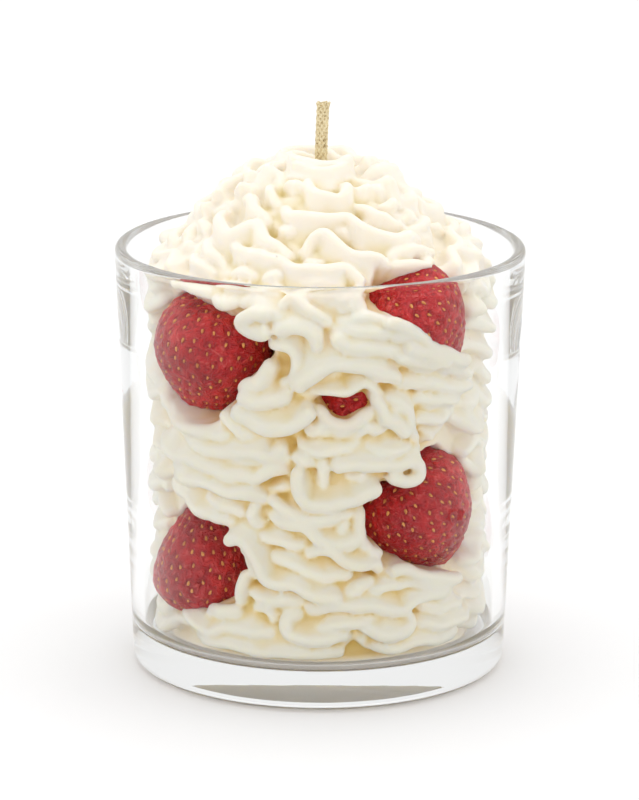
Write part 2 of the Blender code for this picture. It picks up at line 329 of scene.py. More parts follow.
def berry_material():
    """Deep red skin, grained, with a soft gloss; painted shade darkens the pits round its seeds and the
    grain's low places, and painted glints lighten its high ones.
    """
    n = Nodes("strawberry_red")
    mottle = n.noise(120.0, detail=4.0, distortion=0.4)
    colour = n.ramp(
        mottle,
        (0.32, (0.40, 0.005, 0.009)),
        (0.52, (0.57, 0.012, 0.016)),
        (0.72, (0.70, 0.035, 0.035)),
    )
    grain = n.noise(620.0, distortion=1.6)
    # Painted shade in the low places of the grain that bumps the skin, and painted pinkish glints on its
    # high places.
    grain_shade = n.math("SUBTRACT", 0.75, n.span(grain, 0.3, 0.5, 0.75))
    grain_glint = n.span(grain, 0.56, 0.72, 0.6)
    # Painted shade in the pits round the seeds.
    pit_shade = n.math("MULTIPLY", n.attribute("pit_shade"), 0.6)
    colour = n.blend(grain_shade, colour, (0.30, 0.002, 0.008, 1.0))
    colour = n.blend(grain_glint, colour, (0.86, 0.17, 0.15, 1.0))
    colour = n.blend(pit_shade, colour, (0.20, 0.004, 0.012, 1.0))
    n.set(
        Base_Color=colour,
        Roughness=n.math("ADD", n.math("MULTIPLY", mottle, 0.24), 0.20),
        Specular_IOR_Level=0.42,
        Subsurface_Weight=0.3,
        Subsurface_Radius=(1.0, 0.25, 0.2),
        Subsurface_Scale=0.0009,
        Coat_Weight=0.12,
        Coat_Roughness=0.16,
    )
    n.bump(grain, 1.0, 0.0012)
    return n.material


def seed_material():
    """Golden seeds, some browner than others."""
    n = Nodes("strawberry_seed")
    mottle = n.noise(600.0, detail=2.0)
    colour = n.ramp(mottle, (0.35, (0.58, 0.20, 0.04)), (0.65, (0.88, 0.42, 0.11)))
    n.set(Base_Color=colour, Roughness=0.38, Coat_Weight=0.3)
    return n.material


def wick_material():
    """Waxed cotton: straw-coloured, with darker flecks scattered at random."""
    n = Nodes("wick_cotton")
    colour = n.ramp(
        n.noise(1500.0, detail=2.0),
        (0.30, (0.34, 0.25, 0.12)),
        (0.38, (0.64, 0.52, 0.30)),
        (0.62, (0.78, 0.68, 0.44)),
    )
    n.set(Base_Color=colour, Roughness=0.75)
    n.bump(n.noise(4000.0, detail=2.0), 0.4, 0.0002)
    return n.material


def floor_material():
    n = Nodes("pale_floor")
    n.set(Base_Color=(0.90, 0.90, 0.90, 1.0), Roughness=0.7, Specular_IOR_Level=0.2)
    return n.material


# ---------------------------------------------------------------------------- glass


def outer_radius(z):
    return FOOT_RADIUS + (RIM_RADIUS - FOOT_RADIUS) * z / GLASS_HEIGHT


def inner_radius(z):
    return outer_radius(z) - WALL


def arc(centre_r, centre_z, radius, start_deg, end_deg, steps):
    """Points of an arc in the (r, z) half plane, both ends included."""
    angles = np.radians(np.linspace(start_deg, end_deg, steps + 1))
    return [(centre_r + radius * math.cos(a), centre_z + radius * math.sin(a)) for a in angles]


def turned(name, profile, sides, materials):
    """A closed body from an (r, z) profile that starts and ends on the axis."""
    angles = np.linspace(0.0, FULL_TURN, sides, endpoint=False)
    verts, rings, faces = [], [], []
    for r, z in profile:
        if r < TINY_RADIUS:
            rings.append([len(verts)] * sides)
            verts.append((0.0, 0.0, z))
        else:
            rings.append(list(range(len(verts), len(verts) + sides)))
            verts.extend((r * math.sin(a), -r * math.cos(a), z) for a in angles)
    for low, high in zip(rings, rings[1:]):
        for j in range(sides):
            k = (j + 1) % sides
            corners = [high[j], high[k], low[k], low[j]]
            faces.append(list(dict.fromkeys(corners)))
    return add_mesh(name, verts, faces, materials)


def build_glass():
    """The tumbler from the floor's centre up the inside, over the rim and down to the foot."""
    lip = WALL / 2
    rim_z = GLASS_HEIGHT - lip
    floor_z = FLOOR + FLOOR_ROUND
    floor_r = inner_radius(floor_z) - FLOOR_ROUND
    foot_r = outer_radius(FOOT_ROUND) - FOOT_ROUND
    points = [(0.0, FLOOR)]
    points += arc(floor_r, floor_z, FLOOR_ROUND, -90, 0, 14)
    points += arc(outer_radius(rim_z) - lip, rim_z, lip, 180, 0, 16)
    points += arc(foot_r, FOOT_ROUND, FOOT_ROUND, 0, -90, 12)
    points.append((0.0, 0.0))
    glass = turned("tumbler", points, GLASS_SIDES, [glass_material()])
    dress(glass, "glass_tumbler")


# ---------------------------------------------------------------------------- cream

# The cream's outline through its ruffles' lips, as radius with height
CREAM_OUTLINE = (
    (34.6, 8.2), (35.9, 12.0), (36.4, 20.0), (37.0, 50.0), (37.5, 74.0), (37.6, 82.0),
    (37.2, 87.0), (34.8, 91.2), (31.4, 94.6), (27.4, 98.2), (23.4, 102.2), (19.8, 105.8),
    (16.2, 108.4), (11.3, 110.3), (6.0, 111.2), (0.0, 111.4),
)
OUTLINE_POINTS = 400
# The radius that turns an azimuth into a length along the column
COLUMN_RADIUS = 37.0

# The core under the ruffles: how deep it lies, how far it runs into the glass's floor, the
# reach of its flat foot, and its radius behind an opening, with the width of the slope there
CORE_DEPTH = 4.7
SUNK = 0.5
FOOT_REACH = 33.0
RECESS = 17.0
RECESS_SLOPE = 1.6
CORE_SIDES = 240
CORE_RINGS = 180

# A ruffle's section: the radius of its round lip, and how deep the section reaches
LIP = 1.45
DEPTH = 6.6
# The even step between a ruffle's rings, and the least radius that a course turns on
STEP = 0.7
LEAST_RADIUS = 1.2
# How a ruffle ends: it rounds off over the first length, and over the second it sinks, while
# its root draws back and narrows
CAP = 1.8
FADE = 6.0
SINK = 1.7
TUCK = 3.6
NARROWING = 0.55
# How far a ruffle draws back behind an opening
CLEARANCE = 12.0
# How near the wax comes to the glass, and how softly
GLASS_GAP = 0.35
GLASS_EASE = 0.8
# How much of a strawberry's outline an opening at the sides and the back takes
OPENING_SHARE = 0.97

# The wound ruffles run up the column and the mound as a helix of four starts. PITCH is the
# rise from one tier to the next, and LEAN how far a tier tilts from side to side.
PITCH = 4.4
STARTS = 4
LEAN = 5.5
# What a helix leaves free at the foot and at the top of the outline
FIRST = 2.2
LAST = 2.5
HELIX_POINTS = 60000
# The waves of a tier: how many go round the column, how far the lip sways, and how unevenly
# the waves come, as amounts with wavelengths
WAVES_ROUND = 15
SWAY = 1.6
SLOW_SHIFT = (2.6, 24.0)
QUICK_SHIFT = (1.3, 11.0)
UNEVEN_SWAY = (0.35, 9.0)
# How unevenly a tier stands out, bends up and down and swells, as amounts with wavelengths
TIER_LIFT = (0.9, 8.0)
TIER_BEND = (0.8, 14.0)
TIER_THICK = (0.22, 7.0)
# A tier is made of runs between these lengths. What is left after one joins it when it is
# shorter than LEAST_REST, and a run no longer than LEAST_RUN is left out.
RUNS = (22.0, 60.0)
LEAST_RUN = 4.0
LEAST_REST = 8.0
# How far a run keeps from an opening, and how unevenly
RUN_GAP = 0.9
UNEVEN_GAP = (0.9, 4.0)
# How far up the outline the runs begin to face up, and how much a run tilts
MOUND_START = 84.0
RUN_TILT = 1.2
# Within ROPE_ROOM of a front ruffle, a wound one sinks over ROPE_SLOPE to lie under it
ROPE_ROOM = 4.6
ROPE_SLOPE = 2.0
UNDER = 2.4
# How unevenly a front ruffle stands out, swells and runs, as amounts with wavelengths, and
# how much more unevenly it runs on the dome
ROPE_LIFT = (0.55, 6.0)
ROPE_THICK = (0.14, 5.0)
FRILL = (0.45, 3.4)
DOME_FRILL = (0.8, 5.0)
DOME_START = 80.0
DOME_SLOPE = 6.0
CREAM_SEED = 5

# The ruffles and the core are fused in voxels of this size and thinned to that many triangles
VOXEL = 0.47
MOST_TRIANGLES = 190000

# The ruffles that show from the front, piped one by one. A row holds which way the ruffle
# faces ("down": it hangs over what lies below it, "up": it stands before what lies above it),
# how far it stands out, its thickness as a share, and its course as azimuths with lengths up
# the cream's outline.
FRONT_ROPES = (
    # round the wick and over the mound
    ("up", 1.3, 0.9, ((-70, 118.6), (-35, 118), (0, 117.4), (35, 118), (70, 118.6))),
    ("up", 1.0, 0.8, ((-40, 116.8), (-20, 115.6), (0, 114.8), (20, 115.2), (40, 116.4))),
    ("up", 0.2, 0.9, (
        (-14, 113), (-9, 110), (-4.5, 107.8), (1, 106.2), (10.5, 105.4), (17, 106.4), (21, 109), (24, 112),
    )),
    ("up", 0.0, 0.85, ((-34, 111), (-26, 110), (-19, 109.4), (-13, 108), (-9.5, 105.6))),
    ("up", 0.1, 0.85, ((-46, 110.5), (-40, 107.5), (-35, 105.4), (-29, 103.8), (-25.5, 105.5))),
    ("up", 0.0, 0.85, ((26, 110.5), (32, 109.3), (39, 109.6), (46, 111))),
    ("up", 0.5, 1.0, (
        (-24, 104.3), (-21, 102.8), (-17, 101.5), (-8, 101.2), (7, 101.2), (14, 101), (18, 99.3), (22, 97),
        (27, 95.3), (33, 94.9), (39, 94.6), (45, 93.5), (53, 93),
    )),
    ("up", 0.1, 0.8, (
        (20, 104.6), (23.5, 104.8), (28, 103.6), (31, 101.4), (35, 100.4), (38, 98.6), (42, 98.2), (50, 99),
    )),
    ("up", 0.0, 0.8, ((24.5, 100.6), (27, 99.2), (31, 98.6))),
    ("up", 0.1, 0.85, ((38, 104.5), (43, 103), (50, 102.6), (58, 103.5))),
    ("up", 0.3, 0.9, (
        (-60, 103), (-55, 103.6), (-48, 103.4), (-42, 102.4), (-36, 101.6), (-31, 100), (-28.5, 98),
    )),
    ("up", 0.1, 0.8, ((-75, 103), (-68, 105.5), (-60, 107.5), (-54, 106.5))),
    ("up", 0.6, 1.05, (
        (-66, 99.5), (-60, 97), (-53, 95.7), (-45, 95.4), (-38, 96.2), (-32, 96.6), (-27, 95.4),
        (-21, 93.8), (-16, 92.8), (-11, 92),
    )),
    ("up", 0.1, 0.85, ((-23, 98.6), (-17, 97.6), (-12, 98), (-8, 97.2))),
    ("up", 0.0, 0.8, ((4, 99), (9, 98), (14, 96.8), (18, 95))),
    ("up", 0.8, 1.0, (
        (-8, 91.5), (-6, 93), (-4.3, 94.6), (-1, 95.6), (2, 95.7), (5, 94.4), (8, 93.3), (12, 92.1),
        (16.5, 91), (21.5, 90.6), (25, 90), (26.3, 88.5), (25.5, 87),
    )),
    ("up", 0.2, 0.85, ((1.5, 92.3), (0, 90.6), (-3, 90.2), (-8, 90.3))),
    ("up", 0.3, 0.9, ((-44, 92.6), (-39, 91.2), (-34, 90.6), (-29.5, 91.4), (-26, 92))),
    ("up", 0.7, 1.05, (
        (-36, 88.7), (-31, 89.8), (-27, 90), (-22, 89.6), (-16, 88.8), (-9, 88), (-4.5, 87.3), (3.5, 86.9),
        (9, 87.4), (12, 86.8), (14.5, 85.8), (16, 84.4),
    )),
    ("up", 0.3, 0.95, ((-60, 92.5), (-55, 90.5), (-49, 88.7), (-43, 88), (-38, 87))),
    ("up", 0.3, 0.9, ((-62, 87.5), (-56, 86.4), (-50, 85.6), (-45, 85), (-41, 84.4))),
    ("up", 0.4, 0.95, ((-36, 86), (-31, 86.6), (-27, 86.2), (-23, 85.2))),
    ("up", 0.5, 0.95, ((-21.5, 85), (-19.5, 86.2), (-16.5, 86.3), (-14, 85))),
    ("up", 0.1, 0.85, ((-12, 85.6), (-7, 84.9), (-1, 84.6), (5, 84.8), (10, 84.6))),
    ("up", 0.2, 0.9, ((28, 91.5), (33, 91), (38, 90.6), (44, 90.6), (50, 90.5), (57, 91))),
    ("up", 0.6, 1.0, ((28, 88.4), (33, 87.6), (38, 87), (43, 86.8), (46, 87.8), (51, 88))),
    ("up", 0.3, 0.9, ((33, 86.4), (37, 86), (41, 86), (44, 86.6))),
    ("up", 0.2, 0.9, ((52, 97), (60, 96), (68, 97), (76, 96.5))),
    ("up", 0.2, 0.9, ((-84, 97), (-77, 95.5), (-70, 95.5), (-64, 94))),
    # between the upper strawberries
    ("down", 0.2, 0.95, ((-62, 80.6), (-56, 79.9), (-50, 79.6), (-44, 79.3), (-38.5, 79.3))),
    ("down", 0.5, 1.1, ((-38, 80.2), (-36.3, 78.6), (-34, 77.8), (-31, 78), (-28.5, 79), (-26, 80.6))),
    ("up", 0.1, 0.85, ((-40, 82.6), (-34, 82.5), (-28, 82.3), (-22, 81.8), (-17, 81.6), (-13, 82.4))),
    ("up", 0.2, 0.8, ((-9, 83), (-4, 81.6), (0, 81), (5, 81), (9, 81.6), (13, 82.2), (17, 82.6))),
    ("down", 0.6, 1.0, (
        (-28, 79), (-24.5, 79), (-21, 78.9), (-18.5, 78), (-16.5, 76.9), (-13.5, 76.5), (-10, 77),
        (-7.5, 78),
    )),
    ("down", 1.5, 1.15, (
        (-14.5, 76.2), (-18.5, 76.5), (-22.5, 76.3), (-24.9, 75.2), (-24.8, 73.6), (-22.3, 72.6),
        (-18.5, 72.3), (-15, 73),
    )),
    ("down", 0.2, 0.9, ((-21.5, 74.5), (-18.5, 74.5), (-14.5, 74.9))),
    ("up", 0.8, 0.9, (
        (-13, 77), (-12.2, 78.4), (-10.4, 79.9), (-8.3, 80.4), (-6, 79.2), (-4.2, 78), (-1, 77),
        (1.3, 75.9), (3.8, 74.2),
    )),
    ("down", 0.6, 0.85, ((-9, 77.2), (-6, 76.6), (-3, 75.8), (-0.5, 74.2))),
    ("down", 1.1, 1.05, (
        (-15, 73.4), (-12, 73.9), (-9, 74.4), (-6, 74.4), (-3.5, 73.8), (-1.7, 72.4), (-1, 70.5),
        (-0.8, 68.8),
    )),
    ("up", 0.6, 0.9, ((5, 77.4), (8, 78.3), (11, 78.6), (13.8, 78.5), (15.2, 77.4))),
    ("down", 0.4, 0.85, ((0.5, 78.4), (3, 79.4), (6, 80), (9, 80.4), (12, 80.7), (15, 80.4))),
    ("up", 0.9, 0.95, (
        (4.5, 75.5), (8, 75.2), (11, 75.7), (15.5, 76), (20.4, 75.1), (25, 73.8), (30, 72.2), (34.5, 69.8),
        (38, 68.4), (42, 66.8), (47, 65.4), (52, 64.6),
    )),
    ("up", 2.6, 1.0, (
        (19, 75.4), (22, 75), (25, 74), (30, 72.4), (34.5, 70), (38, 68.6), (42, 67), (47, 65.6),
        (52, 64.8),
    )),
    ("down", 0.8, 0.9, (
        (2.5, 73.8), (6, 73.4), (10, 73.2), (14, 73.6), (18, 73.3), (22, 72.8), (26, 71.9), (29.5, 70.6),
    )),
    ("down", 1.4, 1.1, (
        (3, 72.6), (6, 71.8), (9, 70.4), (12, 69.6), (15.5, 69.3), (22, 69.1), (27.7, 68.5), (33, 67.4),
        (38.5, 65.9), (44, 64.2), (50, 62.4), (56, 61),
    )),
    ("down", 0.7, 0.9, ((1.5, 69.3), (4, 68.4), (8, 68.6))),
    ("down", 0.6, 0.9, ((24, 66.2), (29, 65.6), (34, 64.6), (39, 63.4), (44, 62))),
    # round the middle strawberry
    ("down", 1.3, 1.2, (
        (-8.5, 60.8), (-6.3, 62.2), (-2.8, 63.9), (0.5, 65.2), (4, 66.1), (8, 66.4), (12, 66.1), (16, 65.4),
        (20, 64.4), (23.5, 63), (26.5, 61.4),
    )),
    ("down", 0.3, 0.8, (
        (-3.5, 61), (0, 60.7), (4, 60.5), (8.5, 60.4), (11, 61), (13.5, 61.6), (16, 61.5), (19, 60.1),
        (21, 58.3), (21.8, 56.8),
    )),
    ("down", 0.7, 0.95, (
        (-17.4, 70.3), (-13, 70.2), (-10, 69.8), (-7.8, 68.5), (-7.2, 66.2), (-7.8, 63.8), (-10, 62),
        (-13.5, 61),
    )),
    ("up", 0.8, 1.1, (
        (-15, 66.5), (-17, 64.4), (-18.5, 62.6), (-20.5, 61.4), (-23, 61.2), (-25.6, 60.2), (-26.2, 58.2),
    )),
    ("down", 1.0, 1.15, ((-26.5, 59.8), (-24, 58.4), (-20, 58), (-16, 58.6), (-12, 59.2), (-8.5, 59.8))),
    ("down", 1.3, 1.2, (
        (-29, 56.6), (-26, 55.2), (-22.7, 54), (-19, 53.1), (-14.5, 52.7), (-10, 52.9), (-6.3, 54),
        (-3.5, 56), (-1.9, 57.6),
    )),
    ("up", 0.3, 0.95, (
        (-2.5, 55.8), (0.5, 55.6), (2.5, 54.4), (5, 53.6), (8, 53), (11, 53.3), (14, 54.6), (17.5, 55.6),
        (20.5, 56),
    )),
    ("down", 0.3, 0.85, ((-5.5, 51.8), (-2.5, 51.8), (0, 52.4), (2.5, 51.6), (4.5, 50.6))),
    ("down", 0.2, 0.85, (
        (8, 51.2), (10.5, 50.6), (13, 51.6), (15.5, 52.4), (18.5, 51.8), (21.5, 52.6), (24, 54.2),
    )),
    ("down", 0.8, 0.95, (
        (20, 57.2), (23, 57.6), (26.3, 57.2), (29, 55.7), (30.2, 53.6), (31, 51.2), (33, 49.4), (36, 48),
    )),
    ("down", 1.2, 0.9, ((16.2, 59.4), (18.2, 58.2), (19.8, 56.6), (20.6, 54.6), (20, 52.8))),
    ("down", 0.9, 1.0, ((19.5, 56.4), (22, 56), (24.5, 55.4), (27, 54.2), (28, 52.6))),
    ("down", 1.4, 1.1, (
        (22, 72.6), (26, 71.6), (30, 70.6), (34.5, 68.6), (38, 67.2), (42, 65.6), (46, 64.4),
    )),
    ("down", 2.7, 1.1, ((26, 70.2), (30, 69), (34, 67.6), (38, 66.3), (43, 64.8))),
    ("down", 2.5, 1.0, ((23, 67.6), (27, 66.9), (31, 66.1), (35, 65.1), (39, 64))),
    ("down", 1.2, 1.1, ((18.5, 54.8), (21.5, 54.2), (24.5, 53), (27.5, 51.4), (30, 50))),
    ("down", 0.5, 1.0, (
        (24.5, 62.4), (28, 61.9), (31.5, 61.5), (35, 60.9), (39, 60.6), (44, 59.6), (50, 58.4), (57, 57.4),
        (65, 57),
    )),
    ("up", 0.2, 0.95, ((31, 56.4), (34, 57.2), (38, 57), (43, 57), (49, 55.6), (56, 54.5))),
    ("down", 0.2, 0.95, ((33, 53.4), (37, 52.4), (42, 52), (47, 52.8), (53, 52.4))),
    ("down", 0.3, 0.9, ((-64, 58.5), (-57, 57), (-50, 56.6), (-44, 56.4))),
    ("up", 0.9, 1.0, (
        (-66, 56.2), (-60, 54.3), (-55, 52), (-50, 50.4), (-44, 49.6), (-39, 49.8), (-35.5, 50.8),
        (-32.5, 52.6),
    )),
    ("down", 0.5, 1.0, (
        (-60, 53.6), (-54, 53.4), (-47, 53), (-40, 54), (-35, 54.6), (-31.5, 53.6), (-28.5, 51.8),
        (-26, 50.6), (-22, 50.4), (-18, 50),
    )),
    # the waist
    ("down", 0.3, 0.9, (
        (-62, 50.4), (-55, 49.8), (-48, 50.4), (-42, 50.2), (-37, 49.6), (-32, 49.2), (-27, 48.4),
    )),
    ("down", 0.7, 1.05, (
        (-52, 47.6), (-46, 46.8), (-40, 46.4), (-36, 46.3), (-32, 46.4), (-28, 46.6), (-24, 46.8),
        (-20, 47.1), (-16, 46.8), (-13, 47.4), (-11.5, 48.8),
    )),
    ("down", 0.3, 0.85, (
        (-7.5, 50.4), (-5, 48.8), (-1, 48), (3.5, 47.7), (7, 48), (10, 48.6), (12.6, 49.8), (13.6, 51.4),
    )),
    ("down", 0.4, 0.85, (
        (14.6, 50.2), (16.5, 48.4), (20, 47.6), (24, 47.3), (28, 47.6), (31.5, 47.4), (35, 46.4),
    )),
    ("down", 0.3, 0.85, (
        (-36, 45.6), (-31, 44.8), (-26, 44.6), (-21, 44.6), (-16.5, 44.8), (-12.5, 45.2), (-9.5, 46.6),
    )),
    ("down", 0.9, 1.1, (
        (-66, 45.4), (-60, 44.2), (-55, 43.2), (-50, 43), (-45, 42.5), (-40, 42.5), (-35, 42.4),
        (-30, 41.8), (-25, 41.7), (-20, 42), (-16.5, 42.8), (-13, 43.4), (-9.8, 43.8),
    )),
    ("down", 0.4, 0.9, ((-62, 41.4), (-56, 40.6), (-50, 40.8), (-45, 40.2), (-41, 39.8))),
    ("down", 0.7, 1.0, (
        (-58, 38.4), (-52, 38.3), (-46, 38.8), (-41, 39), (-37, 38.5), (-34, 38), (-30, 37.4), (-25, 37.6),
        (-21, 37.6), (-18.7, 36.6), (-17.6, 34.9),
    )),
    ("down", 0.6, 1.0, ((-9.5, 46.2), (-6, 45.8), (-3, 45.4), (0.5, 45.2))),
    ("down", 1.4, 1.2, (
        (-6.4, 45), (-6.9, 42), (-6.3, 39), (-4, 37.3), (-0.5, 36.6), (4, 36.4), (8.5, 36.9), (12, 37.8),
        (15, 38.7), (18, 38.9), (20.2, 37.8),
    )),
    ("down", 0.8, 0.95, ((-1.5, 46.6), (0.6, 45.4), (1.4, 43), (1.3, 40.6), (1, 39.4))),
    ("down", 1.2, 1.1, (
        (3.5, 44.8), (8, 44.8), (14, 44.9), (20, 44.8), (26, 44.5), (30.5, 44.2), (33.7, 43.2),
        (34.2, 41.7), (32.4, 40.7), (29, 40.4), (25.5, 40.8), (22, 41.2),
    )),
    ("down", 0.1, 0.8, ((8, 42.6), (11.5, 42), (15, 42.1), (19, 42))),
    ("up", 0.3, 0.9, (
        (-19, 37.8), (-15, 36.4), (-11.5, 35.2), (-8, 34.2), (-4, 33.4), (0, 33), (4, 33.4), (7, 34),
        (10, 33.6), (13.5, 34),
    )),
    # between the lower strawberries
    ("down", 0.5, 1.0, (
        (-60, 37), (-55, 35.8), (-50, 35), (-47, 33.4), (-44, 32.2), (-40.5, 32), (-38, 32.3),
        (-35.5, 31.7), (-32.5, 31.3), (-30, 30.4), (-28, 29.2),
    )),
    ("down", 0.4, 0.9, ((-42, 35.6), (-37, 35), (-32, 34.2), (-28, 33.4), (-25.5, 32))),
    ("down", 0.6, 1.0, ((-20, 36.2), (-21.8, 34.6), (-22.3, 32.8), (-20.6, 31.4), (-18, 31.2))),
    ("down", 0.9, 1.1, (
        (-16.8, 34.8), (-15, 33.8), (-12.5, 32.9), (-9, 32.4), (-5, 32), (-2.5, 30.9), (0, 29), (3, 28),
        (7, 27.7), (10.5, 28), (13, 29.4), (14, 31.4),
    )),
    ("down", 0.2, 0.85, ((3, 31), (6, 30.4), (8.5, 31.4), (11, 31.8))),
    ("down", 0.2, 0.9, ((-24.5, 29.6), (-20, 28.8), (-15, 28), (-10, 27.6), (-6, 27.4), (-3.5, 26.6))),
    ("down", 1.2, 1.1, (
        (-30.4, 25.6), (-29.6, 27.2), (-27, 28), (-24, 27.4), (-21.6, 25.5), (-19.8, 23), (-18.3, 21),
        (-16.2, 19.6), (-13, 18.6), (-9, 18.6), (-6, 17.9), (-3, 16.7), (1, 16), (5, 15.9), (8, 16.4),
    )),
    ("down", 0.4, 0.85, ((-28.5, 24.2), (-25.5, 24.6), (-23.2, 22.8), (-22, 20.2), (-21.2, 18))),
    ("down", 0.4, 0.95, (
        (-17, 25.2), (-13, 24.4), (-8.5, 23.6), (-4, 22.2), (0.5, 21.2), (5, 20.8), (9, 20.7), (12, 21.6),
    )),
    ("down", 0.8, 1.0, (
        (-5, 24.9), (-2, 26.2), (1, 26.9), (4, 26.2), (6.8, 24.9), (10, 23.8), (13.5, 23.2), (17, 23),
        (19.8, 22.2), (20.7, 20.2),
    )),
    ("down", 0.3, 0.85, ((12, 26.4), (15, 25.4), (19, 25), (23, 24.2))),
    ("down", 0.4, 0.9, ((14.6, 35.4), (13.8, 33), (13.4, 30.6), (13.8, 28.6), (15.6, 26.8), (19, 25))),
    ("up", 0.5, 0.95, ((8.5, 14.8), (10.5, 16.6), (13.5, 18.2), (17, 19), (19.6, 18.4))),
    ("up", 1.1, 1.0, (
        (23, 20.9), (26.5, 21.2), (30, 21.2), (32.4, 20.6), (35.5, 19.8), (39, 19), (43, 18.2), (48, 16.8),
        (54, 16.8),
    )),
    ("down", 0.5, 0.9, (
        (15.5, 17.6), (19, 17.2), (23, 17.7), (27, 17.7), (30, 18.4), (33.5, 18), (37, 17), (42, 16),
        (48, 15.4), (55, 15),
    )),
    ("up", 0.4, 1.0, ((-28.3, 12.8), (-27.3, 15.5), (-26.2, 18), (-24.6, 20.6))),
    ("down", 0.2, 0.9, ((-24.5, 17), (-21, 15.4), (-16, 14.9), (-11, 14.8), (-7, 14.6), (-4, 14))),
    # at the foot
    ("down", 0.7, 1.0, (
        (-5, 13), (-1, 13.6), (3, 14.4), (8, 14.5), (12, 14.3), (16, 14), (21, 13.4), (25, 12.7),
        (29, 12.4), (32.5, 13.4), (36, 14.4), (41, 14.9), (47, 14.6), (54, 14),
    )),
    ("down", 0.1, 0.85, ((-14, 13.4), (-11, 13), (-8, 12.6))),
    ("up", 0.6, 1.1, ((-42, 8.4), (-39.5, 9.8), (-36.5, 10.8), (-33, 11.2), (-30, 11.5), (-26.5, 11.6))),
    ("down", 0.3, 0.9, ((-24, 12.6), (-20.5, 13), (-17, 12.4), (-15.8, 10.4), (-16.5, 8.6))),
    ("down", 0.7, 1.05, (
        (-5, 11.2), (-8.5, 11.6), (-10.6, 10.2), (-10, 8), (-6, 7), (-1, 6.8), (4, 7), (8, 7), (11.5, 6.2),
    )),
    ("down", 0.4, 0.9, (
        (-4, 9.6), (0, 9.2), (4, 9.8), (8, 10.2), (12, 10), (16, 10.4), (20, 10.8), (24, 10.9),
    )),
    ("down", 0.9, 1.05, (
        (13.5, 9.8), (16.5, 8.8), (20.5, 7.8), (25, 7.2), (28.5, 7.3), (31.2, 8.2), (32, 9.5), (30.2, 10.7),
        (26.5, 10.9),
    )),
    ("down", 0.4, 0.95, ((37, 12.4), (40, 11.4), (45, 10.8), (52, 10.6), (60, 10.4))),
    ("down", 0.5, 0.95, ((35, 7.2), (39, 7.8), (44, 7.4), (50, 6.9), (58, 6.8), (66, 7))),
    ("down", 0.4, 0.95, (
        (-56, 8.6), (-50, 7.6), (-45, 6.8), (-40, 6.2), (-36, 6.6), (-32, 7.8), (-28, 7.9), (-23, 7.4),
        (-18.5, 7), (-14.5, 6.2),
    )),
    ("down", 0.3, 0.95, (
        (-48, 4.4), (-42, 3.6), (-36, 3.4), (-31, 3.8), (-26, 3.4), (-20, 2.9), (-13, 3.4), (-7, 3.2),
        (-1, 2.8), (5, 3), (10, 2.6),
    )),
    ("down", 0.3, 0.95, (
        (18, 4.4), (22, 3.6), (27, 3), (33, 3.8), (38, 4), (44, 3.2), (52, 3.6), (60, 3.4),
    )),
)


def smooth_line(points, steps=12):
    """A Catmull-Rom curve through the points."""
    p = np.array(points, float)
    p = np.vstack([2 * p[0] - p[1], p, 2 * p[-1] - p[-2]])
    t = np.linspace(0.0, 1.0, steps, endpoint=False)[:, None]
    out = []
    for a, b, c, d in zip(p, p[1:], p[2:], p[3:]):
        square = (2 * a - 5 * b + 4 * c - d) * t**2
        cube = (3 * b - a - 3 * c + d) * t**3
        out.append(0.5 * (2 * b + (c - a) * t + square + cube))
    return np.vstack(out + [p[-2][None]])


def running_length(steps):
    """The length from the start to each point of a line with those steps."""
    return np.concatenate([[0.0], np.cumsum(steps)])


class Outline:
    """The cream's outline, read by its length s from the floor."""

    def __init__(self):
        line = smooth_line(CREAM_OUTLINE)
        lengths = running_length(np.hypot(*np.diff(line, axis=0).T))
        self.length = lengths[-1]
        self.s = np.linspace(0.0, self.length, OUTLINE_POINTS)
        self.r = np.interp(self.s, lengths, line[:, 0])
        self.z = np.interp(self.s, lengths, line[:, 1])
        near = 15
        window = np.hanning(2 * near + 1)
        window /= window.sum()
        slopes = [
            np.convolve(np.pad(np.gradient(v, self.s), near, "edge"), window, "valid")
            for v in (self.r, self.z)
        ]
        size = np.hypot(*slopes)
        self.up_r, self.up_z = slopes[0] / size, slopes[1] / size

    def at(self, s):
        """(r, z, up_r, up_z): points of the line and the unit direction up along it."""
        return [np.interp(s, self.s, v) for v in (self.r, self.z, self.up_r, self.up_z)]


OUTLINE = Outline()


def length_at(z):
    """The length s up the outline at which it has that height."""
    return np.interp(z, OUTLINE.z, OUTLINE.s)


def on_outline(s):
    """The lengths, kept on the outline and a little off its ends."""
    return np.clip(s, 1.0, OUTLINE.length - 0.5)


def azimuth_of(points):
    """The azimuths of points in millimetres."""
    return np.degrees(np.arctan2(points[..., 0], -points[..., 1]))


def smooth_noise(count, wavelength, rng):
    """A smooth random line between -1 and 1, with that wavelength."""
    place = np.arange(count) * STEP / wavelength + rng.uniform(0.0, 1.0)
    values = rng.uniform(-1.0, 1.0, int(place[-1]) + 2)
    whole = place.astype(int)
    part = eased(place - whole)
    return values[whole] * (1 - part) + values[whole + 1] * part


def uneven(count, wave, rng):
    """A smooth random line from a wave's amount and its wavelength."""
    amount, wavelength = wave
    return amount * smooth_noise(count, wavelength, rng)


class Field:
    """Smooth random values over the cream's surface, between -1 and 1."""

    def __init__(self, around, along, seed):
        self.around, self.along = around, along
        rng = np.random.default_rng(seed)
        self.values = rng.uniform(-1.0, 1.0, (around, int(OUTLINE.length / along) + 3))

    def at(self, azimuth, s):
        x = (azimuth % 360.0) / 360.0 * self.around
        y = np.clip(s, 0.0, OUTLINE.length) / self.along
        i, j = x.astype(int), y.astype(int)
        x, y = eased(x - i), eased(y - j)
        k = (i + 1) % self.around
        i = i % self.around
        low = self.values[i, j] * (1 - x) + self.values[k, j] * x
        high = self.values[i, j + 1] * (1 - x) + self.values[k, j + 1] * x
        return low * (1 - y) + high * y


